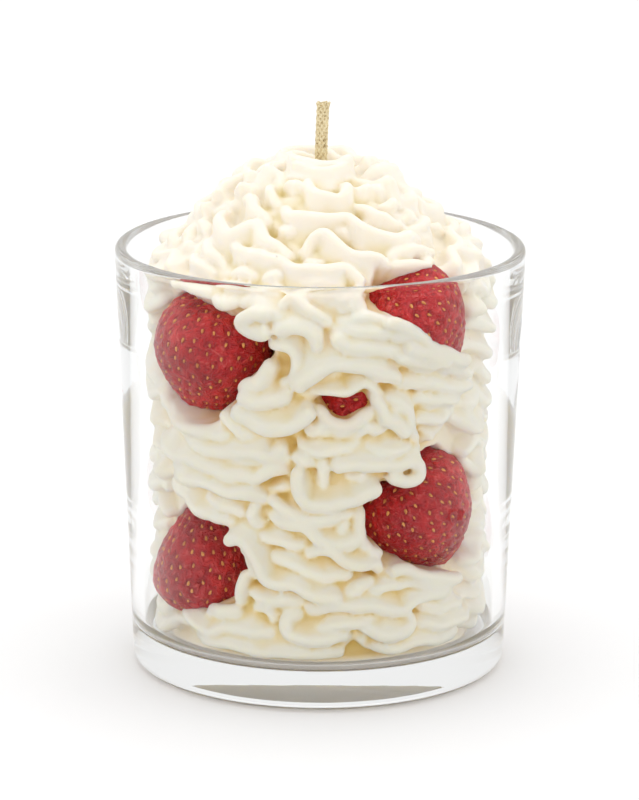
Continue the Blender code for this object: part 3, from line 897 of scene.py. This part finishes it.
def polygon_distance(x, y, corners):
    """Distance from points to a polygon's edge, negative inside."""
    nearest = np.full(np.shape(x), FAR)
    crossings = np.zeros(np.shape(x), dtype=int)
    for (ax, ay), (bx, by) in zip(corners, corners[1:] + corners[:1]):
        dx, dy = bx - ax, by - ay
        share = np.clip(((x - ax) * dx + (y - ay) * dy) / (dx * dx + dy * dy), 0, 1)
        nearest = np.minimum(nearest, np.hypot(x - ax - share * dx, y - ay - share * dy))
        if abs(dy) > TINY:
            crossings += ((ay > y) != (by > y)) & (x < ax + (y - ay) / dy * dx)
    return np.where(crossings % 2 == 1, -nearest, nearest)


def berry_distance(across, along, row):
    """How far points lie outside a strawberry's outline, taken as a flat ellipse."""
    _, _, lean, _, _, length, width = row
    tilt = math.radians(lean)
    side = across * math.cos(tilt) + along * math.sin(tilt)
    down = along * math.cos(tilt) - across * math.sin(tilt)
    away = np.hypot(side / (width / 2), down / (length / 2))
    return (away - OPENING_SHARE) * (width + length) / 4


def opening_distance(azimuth, s):
    """Lengths along the cream's surface to the nearest opening, negative inside one."""
    azimuth = wrapped(azimuth)
    nearest = np.full(np.shape(azimuth), FAR)
    scale = math.radians(COLUMN_RADIUS)
    front = np.abs(azimuth) < 90.0
    for corners in OPENINGS:
        flat = [(a * scale, b) for a, b in corners]
        found = polygon_distance(azimuth[front] * scale, s[front], flat)
        nearest[front] = np.minimum(nearest[front], found)
    z = OUTLINE.at(s)[1]
    for row in BERRIES[FRONT_BERRIES:]:
        _, centre, _, height, *_ = row
        across = wrapped(azimuth - centre) * scale
        nearest = np.minimum(nearest, berry_distance(across, z - height, row))
    return nearest


def even_course(azimuth, s, spare=0):
    """The course in even steps, with that many points to spare: (azimuth, s)."""
    r = np.maximum(OUTLINE.at(s)[0], LEAST_RADIUS)
    lengths = running_length(np.hypot(np.radians(np.diff(azimuth)) * r[1:], np.diff(s)))
    even = np.linspace(0.0, lengths[-1], int(lengths[-1] / STEP) + spare)
    return np.interp(even, lengths, azimuth), np.interp(even, lengths, s)


def helix_path(start):
    """The course of one start of the helix, from the floor up."""
    turns = math.ceil(OUTLINE.length / (PITCH * STARTS)) + 2
    azimuth = np.linspace(400.0, -360.0 * turns, HELIX_POINTS)
    angle = np.radians(azimuth)
    rise = PITCH * (start - STARTS * azimuth / 360.0)
    middle = np.sin(np.pi * np.clip(rise / OUTLINE.length, 0, 1))
    s = rise - LEAN * np.sin(angle) * middle
    s += 1.1 * np.sin(2 * angle + 0.4 + rise / 17) + 0.9 * np.sin(3 * angle - rise / 9)
    keep = (s > FIRST) & (s < OUTLINE.length - LAST)
    return even_course(azimuth[keep], s[keep])


def rope_course(points):
    """The course of a front ruffle."""
    line = smooth_line(points)
    return even_course(line[:, 0], line[:, 1], spare=1)


def flounce_section():
    """(outward, across, turn) of a ruffle's section: turn 1 stays square to its course."""
    lip = [
        (LIP * math.cos(a) - LIP, LIP * math.sin(a), 1.0)
        for a in np.radians(np.linspace(-138, 66, 11))
    ]
    slope = [(-1.4, 1.9, 0.8), (-2.15, 2.8, 0.6), (-2.9, 4.1, 0.4), (-3.6, 5.8, 0.2)]
    root = [(-DEPTH, 5.8, 0.0), (-DEPTH, -3.2, 0.0)]
    undercut = [(-4.8, -2.2, 0.2), (-3.8, -1.5, 0.4), (-2.8, -1.4, 0.6)]
    return np.array(lip + slope + root + undercut)


SECTION = flounce_section()

# Random values that the waves of neighbouring tiers share
WAVE_DRIFT = Field(7, 19.0, 1)
WAVE_SIZES = Field(11, 13.0, 2)


def waving(azimuth, s, rng):
    """A tier's waves: how far each point moves along and up its course, and outwards."""
    count = len(s)
    radius = OUTLINE.at(s)[0]
    waves = WAVES_ROUND * np.clip(radius / COLUMN_RADIUS, 0.18, 1.0) ** 0.85
    phase = np.cumsum(waves * np.gradient(np.radians(-azimuth)))
    phase = phase + rng.uniform(0.0, 6.28) + uneven(count, SLOW_SHIFT, rng)
    phase = phase + 1.2 * WAVE_DRIFT.at(azimuth, s) + uneven(count, QUICK_SHIFT, rng)
    sway = SWAY * (1 + 0.55 * WAVE_SIZES.at(azimuth, s) + uneven(count, UNEVEN_SWAY, rng))
    sway = sway * np.clip(0.45 + radius / 34, 0.45, 1.0)
    crest = np.cos(phase) + 0.22 * np.cos(2 * phase)
    along = -0.25 * sway * np.sin(phase)
    return along, sway * crest, -0.75 * crest


def run_limits(azimuth, s, rng):
    """Where a tier is cut into runs: at the openings and at random lengths."""
    count = len(s)
    free = opening_distance(azimuth, s) > RUN_GAP + uneven(count, UNEVEN_GAP, rng)
    limits, i = [], 0
    while i < count:
        if not free[i]:
            i += 1
            continue
        end = i
        while end < count and free[end]:
            end += 1
        while i < end:
            stop = min(end, i + int(rng.uniform(*RUNS) / STEP))
            if end - stop < LEAST_REST / STEP:
                stop = end
            if (stop - i) * STEP > LEAST_RUN:
                limits.append((i, stop))
            i = stop
    return limits


def rope_distance(azimuth, s, taken):
    """Lengths from points of the surface to the nearest front ruffle."""
    nearest = np.full(len(s), FAR)
    azimuth = wrapped(azimuth)
    close = np.abs(azimuth) < 80.0
    r = OUTLINE.at(s[close])[0][:, None]
    across = np.radians(azimuth[close][:, None] - taken[None, ::3, 0]) * r
    along = s[close][:, None] - taken[None, ::3, 1]
    nearest[close] = np.min(np.hypot(across, along), axis=1)
    return nearest


def surface_frame(azimuth, s):
    """Points of the outline's surface, with outward and upward directions."""
    r, z, up_r, up_z = OUTLINE.at(s)
    angle = np.radians(azimuth)
    sin, cos = np.sin(angle), -np.cos(angle)
    place = np.stack([r * sin, r * cos, z], -1)
    outward = np.stack([up_z * sin, up_z * cos, -up_r], -1)
    upward = np.stack([up_r * sin, up_r * cos, up_z], -1)
    return place, outward, upward


def inward_share(count, reach):
    """0 at both ends of a course, 1 where it is further than the reach from them."""
    length = np.arange(count) * STEP
    return np.clip(np.minimum(length, length[-1] - length) / reach, 0, 1)


def end_share(count):
    """1 at both ends of a course, 0 where it is further than FADE from them."""
    return 1 - eased(inward_share(count, FADE))


def sweep(azimuth, s, lift, thick, bend):
    """Rings of a ruffle along its course, as points in millimetres."""
    place, outward, upward = surface_frame(azimuth, s)
    place = place + outward * lift[:, None]
    along = unit(np.gradient(place, axis=0))
    across = unit(np.cross(along, outward))
    across *= np.sign(np.sum(across * upward))
    swell = np.sqrt(1 - (1 - inward_share(len(s), CAP)) ** 2) * 0.985 + 0.015
    size = np.clip(0.62 + OUTLINE.at(s)[0] / 40, 0.62, 1.0)
    out, wide, turn = SECTION.T
    middle = -0.25 * DEPTH
    sunk = end_share(len(s))[:, None] * (1 - turn)[None]
    rise = (middle + (out[None] - middle) * swell[:, None]) * size[:, None] - TUCK * sunk
    reach = wide[None] * (swell * thick * size)[:, None] * (1 - NARROWING * sunk)
    reach = reach + bend[:, None] * np.clip(1 + out / DEPTH, 0, 1)[None]
    direction = across[:, None] * turn[None, :, None] + upward[:, None] * (1 - turn)[None, :, None]
    rings = place[:, None] + outward[:, None] * rise[..., None] + direction * reach[..., None]
    return inside_glass(rings - outward[:, None] * setback(rings, turn)[..., None])


def setback(rings, turn):
    """How far points of a ruffle draw back, so that they leave the openings free."""
    gap = opening_distance(azimuth_of(rings), length_at(rings[..., 2]))
    root = grow(gap, 0.6, -1.6) * (1 - turn)[None]
    return CLEARANCE * np.maximum(root, grow(gap, -1.7, -1.6))


def inside_glass(points):
    """The points, eased so that they stay just inside the glass."""
    z = np.maximum(points[..., 2], FLOOR + 0.1)
    r = np.hypot(points[..., 0], points[..., 1])
    corner = np.clip(FLOOR + FLOOR_ROUND - z, 0, FLOOR_ROUND)
    limit = inner_radius(z) - GLASS_GAP
    limit = limit - (FLOOR_ROUND - np.sqrt(FLOOR_ROUND**2 - corner**2))
    near = limit - GLASS_EASE + GLASS_EASE * np.tanh((r - limit + GLASS_EASE) / GLASS_EASE)
    share = np.where(r > limit - GLASS_EASE, near, r) / np.maximum(r, TINY_RADIUS)
    return np.stack([points[..., 0] * share, points[..., 1] * share, z], -1)


def front_rope(course, row, rng):
    """The rings of one front ruffle."""
    face, lift, thick, _ = row
    azimuth, s = course
    count = len(s)
    ends = SINK if lift < 1.0 else 0.0
    lift = lift + uneven(count, ROPE_LIFT, rng)
    thick = thick * (1 + uneven(count, ROPE_THICK, rng))
    s = s + uneven(count, FRILL, rng)
    s = s + grow(s, DOME_START, DOME_SLOPE) * uneven(count, DOME_FRILL, rng)
    facing = -1.0 if face == "up" else 1.0
    lift = lift - ends * end_share(count)
    return sweep(azimuth, s, lift, facing * thick, np.zeros(count))


def wound_flounces(start, taken, rng):
    """The rings of each run of one start of the helix."""
    azimuth, s = helix_path(start)
    count = len(s)
    radius = np.maximum(OUTLINE.at(s)[0], 4.0)
    along, up, out = waving(azimuth, s, rng)
    lift = out + uneven(count, TIER_LIFT, rng)
    close = grow(rope_distance(azimuth, s, taken), ROPE_ROOM, -ROPE_SLOPE)
    bend = uneven(count, TIER_BEND, rng)
    thick = 1 + uneven(count, TIER_THICK, rng)
    azimuth = azimuth + np.degrees(along / radius)
    s = on_outline(s + up)
    lift = lift * (1 - 0.75 * close) - UNDER * close
    runs = []
    for first, stop in run_limits(azimuth, s, rng):
        i = np.arange(first, stop)
        tilt = rng.uniform(-RUN_TILT, RUN_TILT) * np.linspace(-1, 1, len(i))
        course = on_outline(s[i] + tilt)
        facing = -1.0 if np.mean(course) > MOUND_START else 1.0
        low = lift[i] - SINK * end_share(len(i))
        runs.append(sweep(azimuth[i], course, low, facing * thick[i], bend[i]))
    return runs


def flounces():
    """All the ruffles as closed bodies that overlap: (verts, faces)."""
    rng = np.random.default_rng(CREAM_SEED)
    courses = [rope_course(row[-1]) for row in FRONT_ROPES]
    taken = np.concatenate([np.stack(course, -1) for course in courses])
    tubes = [front_rope(course, row, rng) for course, row in zip(courses, FRONT_ROPES)]
    for start in range(STARTS):
        tubes += wound_flounces(start, taken, rng)
    verts, faces, base = [], [], 0
    for rings in tubes:
        verts.append(rings.reshape(-1, 3))
        faces += tube_faces(base, len(rings), len(SECTION))
        base += len(verts[-1])
    return np.concatenate(verts), faces


def tube_faces(base, rings, sides):
    """Quads of a tube whose rings follow each other from that vertex, with both ends."""
    k = np.arange(sides)
    near = base + np.arange(rings - 1)[:, None] * sides
    turn = (k + 1) % sides
    quads = np.stack([near + k, near + turn, near + sides + turn, near + sides + k], -1)
    ends = [list(range(base + sides - 1, base - 1, -1))]
    ends.append(list(range(base + (rings - 1) * sides, base + rings * sides)))
    return quads.reshape(-1, 4).tolist() + ends


def cream_core():
    """The cream under its ruffles, hollowed behind the openings."""
    s = np.linspace(OUTLINE.length, 0.0, CORE_RINGS)
    r, z, up_r, up_z = OUTLINE.at(s)
    depth = CORE_DEPTH * np.clip(0.55 + r / 45, 0.55, 1.0)
    core_r = np.maximum(r - depth * up_z, 0.0)
    core_z = np.maximum(z + depth * up_r, FLOOR - SUNK)
    core_r[0] = 0.0
    foot = [(0.0, FLOOR - SUNK), (FOOT_REACH, FLOOR - SUNK)]
    core = turned("core", foot + list(zip(core_r[::-1], core_z[::-1])), CORE_SIDES, [])
    places = vertex_places(core.data)
    x, y, z = places.T
    r = np.maximum(np.hypot(x, y), TINY_RADIUS)
    gap = opening_distance(azimuth_of(places), length_at(z))
    inside = eased(grow(gap, -0.2, -RECESS_SLOPE))
    share = np.where(r > RECESS, 1 - inside * (1 - RECESS / r), 1.0)
    places = np.stack([x * share, y * share, z], -1) * MM
    core.data.vertices.foreach_set("co", places.ravel())
    return core


def join_meshes(target, other):
    """Adds the other object's mesh to the target's and removes that object."""
    mesh = bmesh.new()
    for data in (target.data, other.data):
        mesh.from_mesh(data)
    bmesh.ops.recalc_face_normals(mesh, faces=mesh.faces[:])
    mesh.to_mesh(target.data)
    mesh.free()
    bpy.data.objects.remove(other)


def build_cream():
    """The ruffles and the core, fused into one soft body."""
    cream = add_mesh("piped_wax", *flounces(), [])
    join_meshes(cream, cream_core())
    fuse = cream.modifiers.new("fuse", "REMESH")
    fuse.mode = "VOXEL"
    fuse.voxel_size = VOXEL * MM
    soften = cream.modifiers.new("soften", "SMOOTH")
    soften.factor = 0.5
    soften.iterations = 3
    apply_modifiers(cream)
    thin = cream.modifiers.new("thin", "DECIMATE")
    thin.ratio = min(1.0, MOST_TRIANGLES / (2 * len(cream.data.polygons)))
    apply_modifiers(cream)
    cream.data.shade_smooth()
    cream.data.materials.clear()
    cream.data.materials.append(wax_material())
    paint_wax_light_and_shade(cream.data)
    dress(cream, "cream")


def paint_wax_light_and_shade(data):
    """Painted light and shade for each point: shade by how deep it lies among the ruffles, less of it up
    high, at the sides and at the foot, shade on the dome, and a pink reflection by how near it lies to a
    strawberry.
    """
    places = vertex_places(data)
    azimuth, z = azimuth_of(places), places[:, 2]
    depth = outline_depth(np.hypot(places[:, 0], places[:, 1]), z)
    # Painted shade in the creases: more of it the deeper and hollower a point lies.
    crease_shade = grow(depth, 1.2, 3.6) * 0.62
    crease_shade = np.clip(crease_shade + np.clip(hollowness(data, places) / 0.65, -0.4, 1.0) * 0.7, 0, 1)
    # Less painted shade up high, where the light from above falls, and at the sides as seen from the front,
    # which are painted lighter; less near the foot too.
    high, aside, foot = grow(z, 66.0, 12.0), grow(np.abs(azimuth), 34.0, 16.0), grow(z, 11.5, -4.0)
    crease_shade = crease_shade * (1 - 0.35 * high) * (1 - 0.8 * aside) * (1 - 0.6 * foot)
    # Painted reflection of the strawberries' red light, by how near a point lies to an opening.
    near = grow(opening_distance(azimuth, length_at(z)), 1.0, -1.0)
    middle = np.clip(1.2 - np.abs(azimuth - 8.0) / 20.0, 0.25, 1)
    add_layer(data, "crease_shade", crease_shade)
    add_layer(data, "berry_glow", near * middle * np.clip(1 - depth / 9, 0.2, 1))
    # The mask of the painted shade on the dome.
    add_layer(data, "dome_shade", grow(z, 84.0, 8.0))


def outline_depth(r, z):
    """How far points lie inside the cream's outline."""
    line = np.stack([OUTLINE.r[::4], OUTLINE.z[::4]], -1)
    best = np.full(len(r), FAR)
    for (line_r, line_z), up_r, up_z in zip(line, OUTLINE.up_r[::4], OUTLINE.up_z[::4]):
        d_r, d_z = line_r - r, line_z - z
        away = np.hypot(d_r, d_z)
        signed = d_r * up_z - d_z * up_r
        closer = away < np.abs(best)
        best = np.where(closer, np.where(signed < 0, -away, away), best)
    return best


def hollowness(data, places, rounds=14):
    """How far each point lies below its smoothed surroundings."""
    edges = np.empty(len(data.edges) * 2, dtype=np.int32)
    data.edges.foreach_get("vertices", edges)
    a, b = edges.reshape(-1, 2).T
    count = len(places)
    number = np.bincount(a, minlength=count) + np.bincount(b, minlength=count)
    soft = places.copy()
    for _ in range(rounds):
        total = [np.bincount(a, v[b], count) + np.bincount(b, v[a], count) for v in soft.T]
        soft = 0.4 * soft + 0.6 * np.stack(total, -1) / number[:, None]
    normals = np.empty(count * 3)
    data.vertices.foreach_get("normal", normals)
    return np.sum((soft - places) * normals.reshape(-1, 3), 1)


# ---------------------------------------------------------------------------- strawberries

BERRY_SIDES = 120
BERRY_RINGS = 90
BERRY_SEED = 100
# How far the seeds lie apart, and how big a seed and the pit round it are
SEED_SPACING = 2.45
SEED_LENGTH = 1.05
SEED_WIDTH = 0.6
SEED_THICKNESS = 0.60
SEED_SIDES = 8
SEED_RINGS = 6
# How much smaller or larger than that a seed may be, how far it may turn, how much it
# narrows to one end, and how deep it stands in its pit as a share
SEED_SIZES = (0.85, 1.12)
SEED_TWIST = 0.25
SEED_TAPER = 0.35
SEED_SUNK = 0.80
# A pit is this much longer than it is wide, and the skin swells a little round it
PIT_RADIUS = 0.95
PIT_DEPTH = 0.36
PIT_STRETCH = 1.25
PIT_SWELL = 0.30
# How many lobes each set of lumps makes round a strawberry and down it
LUMPS = ((1, 2), (2, 3), (4, 3), (5, 5), (7, 6))


class Berry:
    """A strawberry's smooth skin, tip down, round its own centre."""

    def __init__(self, length, width, rng):
        self.length, self.width = length, width
        self.lumps = [(*lobes, rng.uniform(0, 6.28), rng.uniform(0.006, 0.014)) for lobes in LUMPS]
        polars = np.linspace(0.0, math.pi, 90)
        self.widest = np.max(np.sin(polars) * (1 + BERRY_TAPER * np.cos(polars)))

    def at(self, polar, around):
        """Points of the skin, by the angle from the top and the angle round."""
        girth = np.sin(polar) * (1 + BERRY_TAPER * np.cos(polar)) / self.widest
        lobes = 1 + 0.03 * np.cos(2 * around + 0.6) + 0.02 * np.cos(3 * around)
        for turns, waves, phase, size in self.lumps:
            lobes = lobes + size * np.sin(turns * around + phase) * np.sin(waves * polar)
        radius = self.width / 2 * girth * lobes
        dimple = BERRY_DIMPLE * np.exp(-((polar / 0.45) ** 2))
        z = self.length / 2 * np.cos(polar) - dimple
        return np.stack([radius * np.cos(around), radius * np.sin(around), z], -1)

    def skin(self):
        """The skin's points and faces."""
        polar, around = sphere_angles(BERRY_RINGS, BERRY_SIDES)
        points = self.at(polar, around)
        ends = self.at(np.array([0.0, math.pi]), np.zeros(2))
        faces = sphere_faces(BERRY_RINGS - 1, BERRY_SIDES)
        return np.vstack([points.reshape(-1, 3), ends]), faces

    def seed_frames(self, rng):
        """The seeds' places, and the directions out, along the seed and across it."""
        polar, around = self.seed_angles(rng).T
        step = 0.02
        spots = self.at(polar, around)
        along = unit(self.at(polar + step, around) - spots)
        out = unit(np.cross(along, self.at(polar, around + step) - spots))
        return spots, out, along, np.cross(out, along)

    def seed_angles(self, rng):
        """Polar and around angles of the seeds: rows in a brick pattern, a little uneven."""
        places = []
        rows = int(math.pi * (self.length + self.width) / 4 / SEED_SPACING)
        for row in range(1, rows):
            polar = math.pi * row / rows
            ring = math.pi * self.width * math.sin(polar) * 0.95
            number = max(3, round(ring / (SEED_SPACING * 1.18)))
            for k in range(number):
                around = FULL_TURN * (k + 0.5 * (row % 2)) / number
                down, aside = rng.uniform(-0.22, 0.22, 2)
                places.append((polar + down / rows * 3, around + aside * 6.28 / number))
        return np.array(places)


def press_pits(verts, frames):
    """The skin's points with a pit round each seed, and how deep each lies in a pit, which is where shade
    is painted.
    """
    pit_shade = np.zeros(len(verts))
    inward = np.zeros_like(verts)
    for spot, out, along, _ in zip(*frames):
        away = verts - spot
        near = np.einsum("ij,ij->i", away, away) < (3 * PIT_RADIUS) ** 2
        lengthways = away[near] @ along / PIT_STRETCH
        flat = away[near] - np.outer(away[near] @ out, out) - np.outer(away[near] @ along, along)
        far = np.sqrt(lengthways**2 + np.einsum("ij,ij->i", flat, flat)) / PIT_RADIUS
        hole = np.exp(-(far**2) * 1.3)
        swell = PIT_SWELL * np.exp(-((far - 1.5) ** 2) * 3)
        inward[near] += np.outer(swell - hole, out) * PIT_DEPTH
        pit_shade[near] = np.maximum(pit_shade[near], hole)
    return verts + inward, pit_shade


def seed_bodies(ball, frames, rng):
    """The points of every seed: a ball drawn out to a drop and set in its pit."""
    bodies = []
    x, y, z = ball[:, 0:1], ball[:, 1:2], ball[:, 2:3]
    for spot, out, along, side in zip(*frames):
        size = rng.uniform(*SEED_SIZES)
        twist = rng.normal(0.0, SEED_TWIST)
        long_way = along * math.cos(twist) + side * math.sin(twist)
        short_way = side * math.cos(twist) - along * math.sin(twist)
        body = spot - out * (PIT_DEPTH * SEED_SUNK)
        body = body + z * long_way * SEED_LENGTH / 2 * size
        body = body + x * short_way * SEED_WIDTH / 2 * size * (1 - SEED_TAPER * z)
        bodies.append(body + y * out * SEED_THICKNESS / 2 * size)
    return bodies


def build_berry(row, index, skin, seed):
    """One strawberry: pitted skin with a seed standing in each pit."""
    node, azimuth, lean, height, reach, length, width = row
    rng = np.random.default_rng(BERRY_SEED + index)
    berry = Berry(length, width, rng)
    verts, faces = berry.skin()
    frames = berry.seed_frames(rng)
    verts, pit_shade = press_pits(verts, frames)
    ball, ball_faces = small_ball(SEED_SIDES, SEED_RINGS)
    bodies = seed_bodies(ball, frames, rng)
    slots = [0] * len(faces) + [1] * len(ball_faces) * len(bodies)
    for k in range(len(bodies)):
        base = len(verts) + k * len(ball)
        faces += [[i + base for i in face] for face in ball_faces]
    fruit = add_mesh(node + "_fruit", np.vstack([verts, *bodies]), faces, [skin, seed])
    fruit.data.polygons.foreach_set("material_index", slots)
    # The mask of the painted shade in the pits.
    add_layer(fruit.data, "pit_shade", np.concatenate([pit_shade, np.zeros(len(ball) * len(bodies))]))
    fruit.data.transform(berry_place(azimuth, lean, height, reach - width / 2))
    dress(fruit, node)


def berry_place(azimuth, lean, height, radius):
    """The matrix that sets a strawberry in its place in the cream."""
    angle = math.radians(azimuth)
    place = Vector((radius * math.sin(angle), -radius * math.cos(angle), height)) * MM
    turn = Matrix.Rotation(angle, 4, "Z")
    tip = Matrix.Rotation(math.radians(-lean), 4, "Y")
    return Matrix.Translation(place) @ turn @ tip


def sphere_angles(rings, sides):
    """Polar and around angles of a sphere's rows of points between its poles."""
    polar = np.linspace(0.0, math.pi, rings + 1)[1:-1]
    around = np.linspace(0.0, FULL_TURN, sides, endpoint=False)
    return np.meshgrid(polar, around, indexing="ij")


def sphere_faces(rows, sides):
    """Faces of a sphere: rows of points from the top down, then the top and the bottom."""
    faces = []
    top, bottom = rows * sides, rows * sides + 1
    for j in range(sides):
        k = (j + 1) % sides
        faces.append([top, j, k])
        for i in range(rows - 1):
            near, far = i * sides, (i + 1) * sides
            faces.append([near + j, far + j, far + k, near + k])
        last = (rows - 1) * sides
        faces.append([bottom, last + k, last + j])
    return faces


def small_ball(sides, rings):
    """Points and faces of a unit ball with its poles on Z."""
    polar, around = sphere_angles(rings, sides)
    girth = np.sin(polar)
    points = np.stack([girth * np.cos(around), girth * np.sin(around), np.cos(polar)], -1)
    points = np.vstack([points.reshape(-1, 3), [(0, 0, 1), (0, 0, -1)]])
    return points, sphere_faces(rings - 1, sides)


def build_berries():
    skin, seed = berry_material(), seed_material()
    for index, row in enumerate(BERRIES):
        build_berry(row, index, skin, seed)


# ---------------------------------------------------------------------------- wick

WICK_FOOT = 104.0
WICK_TOP = 122.5
WICK_RADIUS = 1.32
WICK_LEAN = 0.5
WICK_RINGS = 110
WICK_SEED = 3
# The strands: how many, how thick, how high one rises in a turn, and how far it moves in and
# out as it passes over and under the others
STRANDS = 16
STRAND_RADIUS = 0.27
BRAID_PITCH = 12.0
WEAVE = 0.07
# The cut end: the height over which the strands spread, by what share they do, and how much
# shorter than the longest a strand may be
FRAYED = 1.6
SPREAD = (0.10, 0.34)
CUT = 0.5
CORE_POINTS = 12


def wick_lean(heights):
    """How far the wick leans to the right at those heights."""
    return WICK_LEAN * ((heights - WICK_FOOT) / (WICK_TOP - WICK_FOOT)) ** 2


def add_spline(curve, x, y, z):
    spline = curve.splines.new("POLY")
    spline.points.add(len(z) - 1)
    for point, place in zip(spline.points, zip(x, y, z)):
        point.co = (*(v * MM for v in place), 1.0)
    return spline


def add_strand(curve, k, rng):
    """One strand of the braid. Every other one winds the other way."""
    heights = np.linspace(WICK_FOOT, WICK_TOP, WICK_RINGS)
    way = 1 if k % 2 else -1
    turn = way * FULL_TURN * (heights - WICK_FOOT) / BRAID_PITCH
    angle = turn + FULL_TURN * (k // 2) / (STRANDS / 2)
    over = np.cos(angle * STRANDS / 2 + (math.pi if k % 2 else 0.0))
    radius = WICK_RADIUS - STRAND_RADIUS + WEAVE * over
    flare = grow(heights - WICK_TOP, -FRAYED, FRAYED) ** 2
    radius = radius * (1 + rng.uniform(*SPREAD) * flare)
    top = WICK_TOP - rng.uniform(0.0, CUT)
    z = np.minimum(heights, top + 0.02 * (heights - WICK_TOP))
    add_spline(curve, wick_lean(heights) + radius * np.cos(angle), radius * np.sin(angle), z)


def build_wick():
    """A braid of strands that pass over and under each other, frayed at the cut end."""
    curve = bpy.data.curves.new("braided_wick", "CURVE")
    curve.dimensions = "3D"
    curve.bevel_depth = STRAND_RADIUS * MM
    curve.bevel_resolution = 2
    curve.use_fill_caps = True
    rng = np.random.default_rng(WICK_SEED)
    for k in range(STRANDS):
        add_strand(curve, k, rng)
    heights = np.linspace(WICK_FOOT, WICK_TOP - CUT, CORE_POINTS)
    core = add_spline(curve, wick_lean(heights), np.zeros(CORE_POINTS), heights)
    for point in core.points:
        point.radius = (WICK_RADIUS - STRAND_RADIUS) / STRAND_RADIUS
    curve.materials.append(wick_material())
    dress(add_object("braided_wick", curve), "wick")


# ---------------------------------------------------------------------------- studio

FLOOR_SIZE = 40.0
# The floor lies a hair lower than the glass's foot, so that the two faces don't meet
FLOOR_DROP = -0.0002

# How bright the room is on the camera's side and behind the candle, and between which
# directions (how far they point back) it changes
ROOM_FRONT = 0.85
ROOM_BACK = 0.87
ROOM_CHANGE = (-0.9, 0.5)

# Lamps: name, place, the point it shines at, width and height, and watts. The soft ones
# light the candle and don't show in the glass.
OVERHEAD = ("overhead", (0.0, 0.25, 1.2), (0.0, 0.1, 0.0), (2.2, 2.0), 9.2)
SOFT_LAMPS = (
    ("front", (0.0, -1.3, 0.35), (0.0, 0.0, 0.05), (1.6, 0.9), 3.3),
    ("left", (-1.2, -0.15, 0.4), (0.0, 0.0, 0.05), (0.9, 0.9), 1.7),
    ("right", (1.2, -0.15, 0.4), (0.0, 0.0, 0.05), (0.9, 0.9), 1.7),
)
BOUNCES = 128
DIFFUSE_BOUNCES = 8


def build_floor():
    """A wide pale floor, which fills the view behind the candle."""
    bpy.ops.mesh.primitive_plane_add(size=FLOOR_SIZE, location=(0.0, 0.0, FLOOR_DROP))
    floor = bpy.context.object
    floor.name = "studio_floor"
    floor.data.materials.append(floor_material())


def add_camera():
    """The photo's camera."""
    data = bpy.data.cameras.new("photo_camera")
    data.sensor_width = SENSOR_MM
    data.lens = SENSOR_MM * FOCAL_PX / PHOTO_HEIGHT_PX
    data.clip_start = 0.01
    camera = add_object("photo_camera", data)
    place = Matrix.Translation((0.0, -CAMERA_AWAY, CAMERA_HEIGHT))
    pitch = Matrix.Rotation(math.radians(90.0 - CAMERA_PITCH), 4, "X")
    roll = Matrix.Rotation(math.radians(CAMERA_ROLL), 4, "Z")
    camera.matrix_world = place @ pitch @ roll
    bpy.context.scene.camera = camera


def add_lamp(name, place, target, size, watts):
    data = bpy.data.lights.new(name, "AREA")
    data.shape = "RECTANGLE"
    data.size, data.size_y = size
    data.energy = watts
    lamp = add_object(name, data)
    lamp.location = place
    lamp.rotation_euler = (Vector(place) - Vector(target)).to_track_quat("Z", "Y").to_euler()
    return lamp


def add_lamps():
    """A broad light overhead, and soft ones at the front and the sides."""
    add_lamp(*OVERHEAD)
    for row in SOFT_LAMPS:
        lamp = add_lamp(*row)
        lamp.visible_camera = False
        lamp.visible_glossy = False
        lamp.visible_transmission = False


def light_room():
    """A white room, a little dimmer on the camera's side."""
    world = bpy.data.worlds.new("studio")
    world.use_nodes = True
    tree = world.node_tree
    place = tree.nodes.new("ShaderNodeTexCoord")
    split = tree.nodes.new("ShaderNodeSeparateXYZ")
    change = tree.nodes.new("ShaderNodeMapRange")
    change.interpolation_type = "SMOOTHSTEP"
    change.inputs["From Min"].default_value, change.inputs["From Max"].default_value = ROOM_CHANGE
    change.inputs["To Min"].default_value = ROOM_FRONT
    change.inputs["To Max"].default_value = ROOM_BACK
    tree.links.new(place.outputs["Generated"], split.inputs[0])
    tree.links.new(split.outputs["Y"], change.inputs["Value"])
    room = tree.nodes["Background"]
    room.inputs["Color"].default_value = WHITE
    tree.links.new(change.outputs["Result"], room.inputs["Strength"])
    bpy.context.scene.world = world


def set_rendering():
    """Plain colours, and bounces enough for light to pass the glass's many faces."""
    scene = bpy.context.scene
    scene.view_settings.view_transform = "Standard"
    scene.cycles.max_bounces = BOUNCES
    scene.cycles.diffuse_bounces = DIFFUSE_BOUNCES
    scene.cycles.glossy_bounces = BOUNCES
    scene.cycles.transmission_bounces = BOUNCES


# ---------------------------------------------------------------------------- main

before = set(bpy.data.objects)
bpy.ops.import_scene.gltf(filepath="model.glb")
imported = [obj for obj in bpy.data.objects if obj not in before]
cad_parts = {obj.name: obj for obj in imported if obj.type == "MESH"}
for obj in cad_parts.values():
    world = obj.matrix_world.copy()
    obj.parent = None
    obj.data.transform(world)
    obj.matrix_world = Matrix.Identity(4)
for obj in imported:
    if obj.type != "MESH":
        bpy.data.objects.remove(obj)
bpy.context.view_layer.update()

build_glass()
build_cream()
build_berries()
build_wick()
build_floor()
add_camera()
add_lamps()
light_room()
set_rendering()
